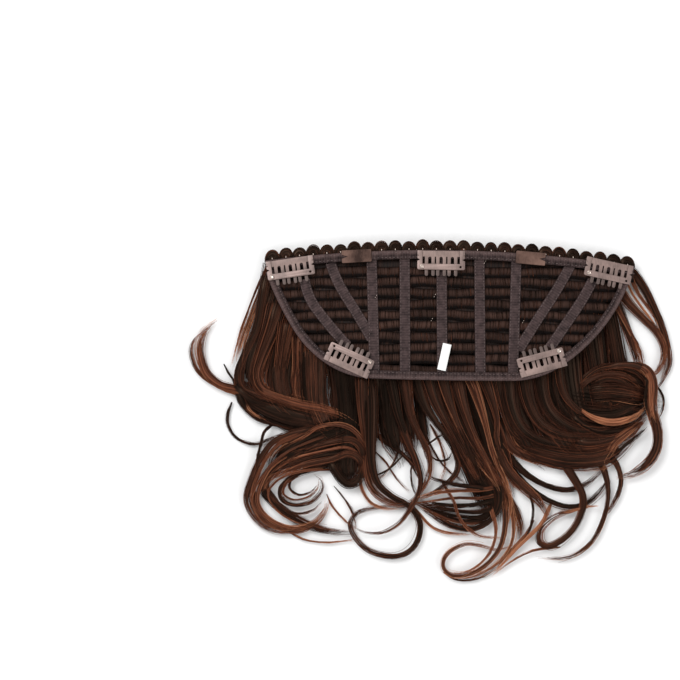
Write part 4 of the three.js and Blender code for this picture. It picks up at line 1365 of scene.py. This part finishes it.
weft_finish = weft_ribbon_finish()
for row in range(WEFT_ROWS):
    node = f"weft_{row + 1:02d}"
    path = row_path(row)
    ribbon = hand_in(strip(node + "_ribbon", path, WEFT_PROFILE, weft_finish), "base", "weft", node)
    values = {
        "Radius": 0.00014,
        "Wander": 0.0016,
        "Shortest": 0.6,
        "Streaks": 0.05,
        "Tone spread": 0.2,
        "Seed": 301 + 20 * row,
        "Finish": strand_finish,
    }
    guides = guide_mesh(node + "_guides", fibre_guides(row, path))
    fibres = hand_in(grown(node + "_fibres", guides, strand_tree, values), "base", "weft", node)
    added[node] = triangles(ribbon) + triangles(fibres)
print("weft rows", sum(added[f"weft_{row + 1:02d}"] for row in range(WEFT_ROWS)), "triangles")

# %% [markdown]
# ## Tapes
# Woven tapes cross the rows and carry the base. They ride over each roll, so their height follows the rows,
# and each one is sewn down along both sides. The slanted tapes tuck under the straight ones.

# %% Tapes
TAPE_WIDE = 7
TAPE_UNDER = 1.9
TAPE_THICK = 0.8
TAPE_CORNER = 0.22
TAPE_TUCK = 1.3
TAPE_STRIDE = 1.5
TAPE_SEAM = 2.75
TAPE_RIDE = 0.28
RIDE_CREST = 0.9
TAPE_STITCH = (2.4, 1.6, 0.42)
SLANTED_LOWER = 0.3
STRAIGHT_TAPES = {
    "tape_1": (-38, 2),
    "tape_2": (-15.6, 0),
    "tape_3": (9.2, 0),
    "tape_4": (34.7, 0),
    "tape_5": (59.8, -3.4),
}
SLANTED_TAPES = {
    "outer_left_tape": (-83, 88.5, 277, [(22, 30), (32, 6)]),
    "inner_left_tape": (-65.5, 99.5, 287, [(26, 16), (32, -4)]),
    "inner_right_tape": (96, 97.6, 242, [(30, -6), (37, 2)]),
    "outer_right_tape": (111, 87.5, 243, [(24, -8), (30, 0)]),
}


def over_rolls(x, y, distance):
    """How far a tape rises where it crosses the roll of a weft row."""
    row = (WEFT_FIRST - WEFT_BOW * x * x - RIDE_CREST - y) / WEFT_PITCH
    return TAPE_RIDE * math.cos(2 * math.pi * row)


def straight_path(x, lean):
    high = top_edge(x) - TAPE_TUCK
    low = lower_edge(x + lean) + TAPE_TUCK
    shares = np.linspace(0, 1, math.ceil((high - low) / TAPE_STRIDE) + 1)
    return [(x + lean * share, high + (low - high) * share, 270) for share in shares]


def seam_lines(path, offsets, above, lift):
    raised = [lift(x, y, distance) for distance, (x, y, _) in zip(lengths_along(path), path)]
    return [
        [strip_point(*point, across, above, extra) for point, extra in zip(path, raised)]
        for across in offsets
    ]


tape_paths = {node: (straight_path(*row), 0) for node, row in STRAIGHT_TAPES.items()}
for node, (x, y, heading, bends) in SLANTED_TAPES.items():
    tape_paths[node] = (walk(x, y, heading, bends, TAPE_STRIDE, TURN_STEP), SLANTED_LOWER)
tape_seams = []
for node, (path, lower) in tape_paths.items():
    under = TAPE_UNDER - lower
    profile = rounded_flat(TAPE_WIDE, under, TAPE_THICK, TAPE_CORNER)
    tape = strip(node + "_woven", path, profile, tape_finish, over_rolls)
    hand_in(tape, "base", "tape", node)
    added[node] = triangles(tape)
    tape_seams += seam_lines(path, (-TAPE_SEAM, TAPE_SEAM), under + TAPE_THICK, over_rolls)
print("tapes:", len(tape_paths))
sewn("tape_stitches", tape_seams, *TAPE_STITCH, tape_thread, "tape")

# %% [markdown]
# ## Band and binding
# A folded tape closes the base along the top, and another one along the lower edge: a wall down the
# outside, a soft fold, and a flange over the tape ends. The sewing draws the flange in a little at each
# stitch.

# %% Band and binding
FOLD_UNDER = 3.2
FOLD_TOP = 4.2
FOLD_STRIDE = 1.6
PUCKER = 0.12
PUCKER_PITCH = 5.2
FOLD_SEAM_OUT = 1.5
FOLD_SEAM_IN = 1.2
FOLD_SEAM_PROUD = 0.05
FOLD_STITCH = (2.6, 1.7, 0.42)


def folded_profile(wide, inward):
    shape = [
        (0, 0), (0, 3.2), (0.2, 3.85), (0.75, FOLD_TOP), (wide / 2, FOLD_TOP + 0.1), (wide - 0.5, FOLD_TOP),
        (wide, FOLD_TOP - 0.35), (wide - 0.2, FOLD_UNDER), (1.2, FOLD_UNDER), (1, 3), (1, 0),
    ]
    return [(inward * across, above) for across, above in shape]


def puckered(x, y, distance):
    return PUCKER * math.sin(2 * math.pi * distance / PUCKER_PITCH)


top_x = np.linspace(TOP_LEFT, TOP_RIGHT, math.ceil((TOP_RIGHT - TOP_LEFT) / FOLD_STRIDE) + 1)
top_path = [(x, top_edge(x), math.degrees(math.atan(-2 * TOP_BOW * x))) for x in top_x]
edge_path = walk(*LOWER_START, LOWER_BENDS, FOLD_STRIDE, TURN_STEP)
fold_seams = []
for node, path, wide, inward in (("top_band", top_path, 6, -1), ("edge_binding", edge_path, 5.6, 1)):
    folded = strip(node + "_woven", path, folded_profile(wide, inward), binding_finish, puckered)
    hand_in(folded, "base", "binding", node)
    added[node] = triangles(folded)
    offsets = (inward * FOLD_SEAM_OUT, inward * (wide - FOLD_SEAM_IN))
    fold_seams += seam_lines(path, offsets, FOLD_TOP + FOLD_SEAM_PROUD, puckered)
print("band and binding ready")
sewn("fold_stitches", fold_seams, *FOLD_STITCH, tape_thread, "binding")

# %% [markdown]
# ## The looped edge
# Small bundles of hair arch along the top, each turned back into the band, with a pale stitch at its foot.
# The arches are locks too, so the strand tree makes them, from one guide for each arch.

# %% Looped edge
LOOP_COUNT = 27
LOOP_REACH = 8
LOOP_HEIGHT = 2.2
LOOP_FOOT = -1.2
LOOP_MIDDLE = 0.57
LOOP_STEPS = 12
LOOP_STRANDS = 36
LOOP_UNEVEN = 0.08
LOOP_UNEVEN_STEP = 2.4
LOOP_TONE = 0.12
LOOP_TONE_WAVE = 0.08
LOOP_TONE_STEP = 1.9
LOOP_OVERLAP = 0.56
LOOP_ROUND = 0.8
LOOP_RISE = 1.5
LOOP_ALONG = 0.5
FOOT_STITCH = (2.0, 1.3, 0.6)
FOOT_ENDS = [(0.6, 4.0), (1.6, 3.9)]
loop_pitch = (TOP_RIGHT - TOP_LEFT) / LOOP_COUNT


def arch_guide(number):
    middle = TOP_LEFT + loop_pitch * (number + 0.5)
    foot = top_edge(middle) + LOOP_FOOT
    slope = -2 * TOP_BOW * middle
    tall = LOOP_REACH * (1 + LOOP_UNEVEN * math.sin(LOOP_UNEVEN_STEP * number))
    guide = new_guide(LOOP_STRANDS, LOOP_TONE + LOOP_TONE_WAVE * math.sin(LOOP_TONE_STEP * number))
    for step in range(LOOP_STEPS + 1):
        share = step / LOOP_STEPS
        angle = math.pi * share
        out_x = -LOOP_OVERLAP * loop_pitch * math.cos(angle)
        out_y = tall * math.sin(angle) ** LOOP_ROUND
        x = middle + LOOP_MIDDLE * out_x
        y = foot + LOOP_MIDDLE * out_y + slope * LOOP_MIDDLE * out_x
        spread = 1 - LOOP_MIDDLE
        point = place(x, y, lie(x, y) + LOOP_HEIGHT)
        across = (spread * out_x, spread * out_y, 0)
        add_to_guide(guide, point, across, LOOP_RISE, LOOP_ALONG * math.sin(angle))
    return guide


values = {
    "Radius": 0.0003,
    "Wander": 0.0004,
    "Shortest": 0.97,
    "Streaks": 0.08,
    "Tone spread": 0.24,
    "Seed": 703,
    "Finish": strand_finish,
}
arches = [arch_guide(number) for number in range(LOOP_COUNT)]
loops = grown("looped_hair", guide_mesh("loop_guides", arches), strand_tree, values)
hand_in(loops, "base", "loop", "loop_edge")
loop_cores = hand_in(new_object("loop_cores", core_mesh("loop_cores", arches)), "base", "loop", "loop_edge")
added["looped_hair"] = triangles(loops) + triangles(loop_cores)
feet = []
for number in range(LOOP_COUNT):
    x = TOP_LEFT + loop_pitch * (number + 0.5)
    feet.append([strip_point(x, top_edge(x) + out, 90, 0, above) for out, above in FOOT_ENDS])
print("arches", added["looped_hair"], "triangles")
sewn("loop_stitches", feet, *FOOT_STITCH, pale_thread, "loop")

# %% [markdown]
# ## The clips
# Each clip is pressed from thin spring steel: a comb that is sewn to the base, and a lever that snaps
# down on its teeth. A flat outline with a small bevel gives a pressed plate its soft edges, so a filled
# 2-D curve makes each one.

# %% Clip shapes
CLIP_LONG = 32
CLIP_DEEP = 13
CLIP_PLATE = 0.6
CLIP_BAR = 4
CLIP_ARM = 3.4
CLIP_TOOTH_PAST = 4.2
CLIP_TOOTH = 2.25
CLIP_PAIR_PITCH = 7.6
CLIP_ARCH_GAP = 2.2
CLIP_BEVEL = 0.12
CLIP_GAP = 0.3
CLIP_HOLE = 0.8
CLIP_HOLE_FROM_END = 3
CLIP_NOTCH = 1.2
COMB_CORNER = 1
LEVER_CORNER = 1.2
SEWN_ON = 4.5


def arc(x, y, radius, from_angle, to_angle, steps):
    angles = np.radians(np.linspace(from_angle, to_angle, steps + 1))
    return [(x + radius * math.cos(angle), y + radius * math.sin(angle)) for angle in angles]


def comb_outline():
    back = CLIP_DEEP / 2
    root = back - CLIP_BAR
    tip = -back - CLIP_TOOTH_PAST
    end = CLIP_LONG / 2
    outline = arc(COMB_CORNER - end, back - COMB_CORNER, COMB_CORNER, 90, 180, 4) + [(-end, root)]
    for pair in (-1, 0, 1):
        for side in (-1, 1):
            middle = pair * CLIP_PAIR_PITCH + side * (CLIP_ARCH_GAP + CLIP_TOOTH) / 2
            half = CLIP_TOOTH / 2
            outline.append((middle - half, root - (CLIP_ARCH_GAP / 2 if side > 0 else 0)))
            outline += arc(middle, tip + half, half, 180, 360, 6)
            outline.append((middle + half, root - (CLIP_ARCH_GAP / 2 if side < 0 else 0)))
            if side < 0:
                centre = pair * CLIP_PAIR_PITCH
                outline += arc(centre, root - CLIP_ARCH_GAP / 2, CLIP_ARCH_GAP / 2, 180, 0, 6)[1:-1]
    outline.append((end, root))
    return outline + arc(end - COMB_CORNER, back - COMB_CORNER, COMB_CORNER, 0, 90, 4)


def lever_half(sign):
    side, back, front = CLIP_LONG / 2, CLIP_DEEP / 2, -CLIP_DEEP / 2
    corner = arc(side - LEVER_CORNER, front + LEVER_CORNER, LEVER_CORNER, 0, -90, 5)
    half = [
        (side - CLIP_ARM, front + CLIP_BAR),
        (side - CLIP_ARM, back),
        (side, back),
        (side, 3 * CLIP_NOTCH),
        (side - CLIP_NOTCH, 2.6 * CLIP_NOTCH),
        (side, 2 * CLIP_NOTCH),
        (side, CLIP_NOTCH),
        (side - 1.5 * CLIP_NOTCH, CLIP_NOTCH / 4),
        (side, -CLIP_NOTCH / 2),
        *corner,
    ]
    return [(sign * x, y) for x, y in half]


def lever_outline():
    return lever_half(1) + lever_half(-1)[::-1]


def plate_mesh(name, outlines, thick, bevel):
    """A pressed plate with bevelled edges, in millimetres, standing on z = 0."""
    curve = bpy.data.curves.new(name, "CURVE")
    curve.dimensions = "2D"
    curve.fill_mode = "BOTH"
    curve.extrude = thick / 2 - bevel
    curve.bevel_depth = bevel
    curve.bevel_resolution = 2
    curve.offset = -bevel
    for outline in outlines:
        spline = curve.splines.new("POLY")
        spline.points.add(len(outline) - 1)
        for point, (x, y) in zip(spline.points, outline):
            point.co = (x, y, 0, 1)
        spline.use_cyclic_u = True
    holder = new_object(name + "_outline", curve)
    mesh = bpy.data.meshes.new_from_object(holder.evaluated_get(bpy.context.evaluated_depsgraph_get()))
    bpy.data.objects.remove(holder)
    mesh.transform(Matrix.Translation((0, 0, thick / 2)))
    return mesh


def lathe_mesh(name, profile, sides):
    """A turned shape whose profile of (radius, height) starts and ends on the axis."""
    inner = profile[1:-1]
    points = [(0, 0, profile[0][1])]
    for radius, height in inner:
        points += [(x, y, height) for x, y in arc(0, 0, radius, 0, 360, sides)[:-1]]
    points.append((0, 0, profile[-1][1]))
    faces = []
    for side in range(sides):
        after = (side + 1) % sides
        faces.append((0, 1 + side, 1 + after))
        for ring in range(len(inner) - 1):
            here, there = 1 + ring * sides, 1 + (ring + 1) * sides
            faces.append((here + side, there + side, there + after, here + after))
        top = 1 + (len(inner) - 1) * sides
        faces.append((top + side, len(points) - 1, top + after))
    return mesh_of(name, points, faces)


def sewn_matrix(x, y, turn, above):
    """The frame of a flat piece sewn to the base, from millimetres to the frame's metres."""
    slope_x = lie(x + 0.5, y) - lie(x - 0.5, y)
    slope_y = lie(x, y + 0.5) - lie(x, y - 0.5)
    up = Vector((-slope_x, -slope_y, 1)).normalized()
    along = Vector((math.cos(math.radians(turn)), math.sin(math.radians(turn)), 0))
    along = (along - along.dot(up) * up).normalized()
    axes = Matrix((along, up.cross(along), up)).transposed().to_4x4()
    axes.translation = place(x, y, lie(x, y) + above)
    return axes @ Matrix.Scale(MM, 4)


def sewn_piece(name, mesh, matrix, offset, finish):
    copy = mesh.copy()
    copy.transform(matrix @ Matrix.Translation(offset))
    facing_out(copy)
    copy.shade_smooth()
    copy.set_sharp_from_angle(angle=SHARP_ANGLE)
    copy.materials.clear()
    copy.materials.append(finish)
    return new_object(name, copy)


print("clip outlines:", len(comb_outline()), "and", len(lever_outline()), "points")

# %% Clips in place
CLIPS = {
    "top_left": (-92.5, 96, 8),
    "top_middle": (8.8, 101, -1),
    "top_right": (121.5, 94.2, -12),
    "lower_left": (-53, 34, 155),
    "lower_right": (75.5, 32.5, 195),
}
TOOTH_SHARE = "tooth_share"
TOOTH_PAINTED_SHADE = 0.7
WORN_CLOUD = 1.5
WORN_SCRATCH = 0.7
WORN_LESS = 0.6
RIVET = [(0, 0.12), (0.55, 0.14), (0.8, 0.48), (1.15, 0.6), (1.45, 0.42), (1.5, 0.1), (1.4, 0), (0, 0)]


def clip_finish(name, dark, light, metal, roughness):
    """Worn lacquer, with painted shade on a plate's teeth that grows towards their tips."""
    material, tree, shader = new_finish(name, roughness, {"Metallic": metal})
    at = object_place(tree)
    cloud = noise(tree, at, 90, 3.0)
    scratches = noise(tree, stretched(tree, at, (2600, 260, 260)), 1.0, 2.0)
    tooth = add_node(tree, "ShaderNodeAttribute", {"attribute_name": TOOTH_SHARE}, {}, "Fac")
    # Real wear from cloud and scratches, less the painted shade on the teeth.
    wear_and_painted_shade = WORN_CLOUD * cloud + WORN_SCRATCH * scratches - WORN_LESS - TOOTH_PAINTED_SHADE * tooth
    feed(tree, mixed(wear_and_painted_shade.bounded(0.0, 1.0), dark, light), shader, "Base Color")
    feed(tree, (roughness - 0.12 + 0.3 * scratches).bounded(0.1, 0.9), shader, "Roughness")
    feed(tree, bump(tree, scratches, 0.15, 0.0001), shader, "Normal")
    return material


dull_lacquer = clip_finish("dull_lacquer", colour(88, 73, 68), colour(164, 139, 131), 0.3, 0.5)
lacquer = clip_finish("rosy_lacquer", colour(90, 75, 71), colour(156, 133, 126), 0.35, 0.4)
bright_steel = clip_finish("bright_rivet", colour(176, 158, 150), colour(226, 212, 202), 0.9, 0.25)
hole_x = CLIP_LONG / 2 - CLIP_HOLE_FROM_END
bar_middle = -CLIP_DEEP / 2 + CLIP_BAR / 2
comb_mesh = plate_mesh("comb", [comb_outline()], CLIP_PLATE, CLIP_BEVEL)
tooth_root = CLIP_DEEP / 2 - CLIP_BAR
tooth_long = CLIP_DEEP - CLIP_BAR + CLIP_TOOTH_PAST
tooth_shares = [max((tooth_root - vertex.co.y) / tooth_long, 0) for vertex in comb_mesh.vertices]
set_attribute(comb_mesh, TOOTH_SHARE, "FLOAT", tooth_shares)
hole = arc(hole_x, bar_middle, CLIP_HOLE, 0, 360, 16)[:-1]
lever_mesh = plate_mesh("lever", [lever_outline(), hole], CLIP_PLATE, CLIP_BEVEL)
rivet_mesh = lathe_mesh("rivet", RIVET, 20)
level = CLIP_PLATE + CLIP_GAP
for clip, (x, y, turn) in CLIPS.items():
    matrix = sewn_matrix(x, y, turn, SEWN_ON)
    comb = sewn_piece(clip + "_comb_steel", comb_mesh, matrix, (0, 0, 0), dull_lacquer)
    lever = sewn_piece(clip + "_lever_steel", lever_mesh, matrix, (0, 0, level), lacquer)
    rivet_at = (-hole_x, bar_middle, 2 * level)
    rivet = sewn_piece(clip + "_rivet_head", rivet_mesh, matrix, rivet_at, bright_steel)
    hand_in(comb, "base", "clip", clip + "_comb")
    hand_in(lever, clip + "_clip_lever", "clip", clip + "_lever")
    hand_in(rivet, clip + "_clip_lever", "rivet", clip + "_rivet")
    added[clip] = triangles(comb) + triangles(lever) + triangles(rivet)
print("clips", sum(added[clip] for clip in CLIPS), "triangles")

# %% [markdown]
# ## Tabs, label and thread ends
# Two small folded tabs help to grip the band, a plain white label is sewn to the middle tape, and a few pale
# thread ends show where the sewing was tied off.

# %% Tabs, label and thread ends
TAB_LONG = 20
TAB_WIDE = 8.6
TAB_THICK = 1
TAB_NOTCH_DEEP = 4
TAB_NOTCH_WIDE = 2.6
TAB_CORNER = 1
TAB_FORK_CORNER = 0.6
TAB_BEVEL = 0.3
TAB_NAP = 0.5
TAB_CLOUD = 2.2
TAB_TONE = 0.1
TABS = {"left_tab": (-48, 104, 3), "right_tab": (69, 102.6, 175)}
LABEL = {"x": 12.6, "y": 36, "long": 18, "wide": 5.8, "above": 3.2, "thick": 0.45, "heading": 257}
LABEL_CORNER = 0.12
LABEL_STRIDE = 0.8
LABEL_BULGE = 0.35
LABEL_RIPPLE = 0.06
LABEL_RIPPLE_RATE = 1.3
THREAD_END = [(0, 0, 3.15), (0.8, 1.4, 3.1)]
THREAD_END_STITCH = (1.2, 0.8, 0.3)
THREAD_ENDS = [(-97.2, 74.8), (-35.4, 76.2), (4.1, 76.8), (2.0, 60.5), (38.1, 99.3), (63.2, 59.2)]


def tab_outline():
    end, side = TAB_LONG / 2, TAB_WIDE / 2
    round_x, round_y = end - TAB_CORNER, side - TAB_CORNER
    fork_x, fork_y = end - TAB_FORK_CORNER, side - TAB_FORK_CORNER
    outline = arc(round_x, round_y, TAB_CORNER, 0, 90, 4)
    outline += arc(-fork_x, fork_y, TAB_FORK_CORNER, 90, 180, 3)
    outline += [(-end, TAB_NOTCH_WIDE / 2), (-end + TAB_NOTCH_DEEP, 0), (-end, -TAB_NOTCH_WIDE / 2)]
    outline += arc(-fork_x, -fork_y, TAB_FORK_CORNER, 180, 270, 3)
    return outline + arc(round_x, -round_y, TAB_CORNER, 270, 360, 4)


def tab_finish():
    material, tree, shader = new_finish("tan_tab", 0.8, {"Specular IOR Level": 0.12})
    at = object_place(tree)
    nap = noise(tree, stretched(tree, at, (1200, 500, 900)), 1.0, 3.0)
    cloud = noise(tree, at, 75, 2.0)
    shade = (TAB_NAP * nap + TAB_CLOUD * (cloud - 0.5) + TAB_TONE).bounded(0.0, 1.0)
    feed(tree, mixed(shade, colour(54, 39, 34), colour(126, 98, 87)), shader, "Base Color")
    feed(tree, bump(tree, nap, 0.6, 0.0004), shader, "Normal")
    return material


tan_nap = tab_finish()
tab_mesh = plate_mesh("tab", [tab_outline()], TAB_THICK, TAB_BEVEL)
for node, (x, y, turn) in TABS.items():
    tab = sewn_piece(node + "_folded", tab_mesh, sewn_matrix(x, y, turn, SEWN_ON), (0, 0, 0), tan_nap)
    hand_in(tab, "base", "tab", node)
    added[node] = triangles(tab)


def label_wave(x, y, distance):
    bulge = LABEL_BULGE * math.sin(math.pi * distance / LABEL["long"])
    return bulge + LABEL_RIPPLE * math.sin(LABEL_RIPPLE_RATE * distance)


label_top = LABEL["y"] + LABEL["long"] / 2
label_path = walk(LABEL["x"], label_top, LABEL["heading"], [(LABEL["long"], 0)], LABEL_STRIDE, TURN_STEP)
label_profile = rounded_flat(LABEL["wide"], LABEL["above"], LABEL["thick"], LABEL_CORNER)
label = strip("blank_label", label_path, label_profile, label_finish, label_wave)
hand_in(label, "base", "label", "label")
added["label"] = triangles(label)
ends = []
for x, y in THREAD_ENDS:
    ends.append([strip_point(x + aside, y + up, 60, 0, above) for aside, up, above in THREAD_END])
sewn("thread_ends", ends, *THREAD_END_STITCH, pale_thread, "tape")
print("tabs and label ready")

# %% Size
print("added triangles", sum(added.values()))
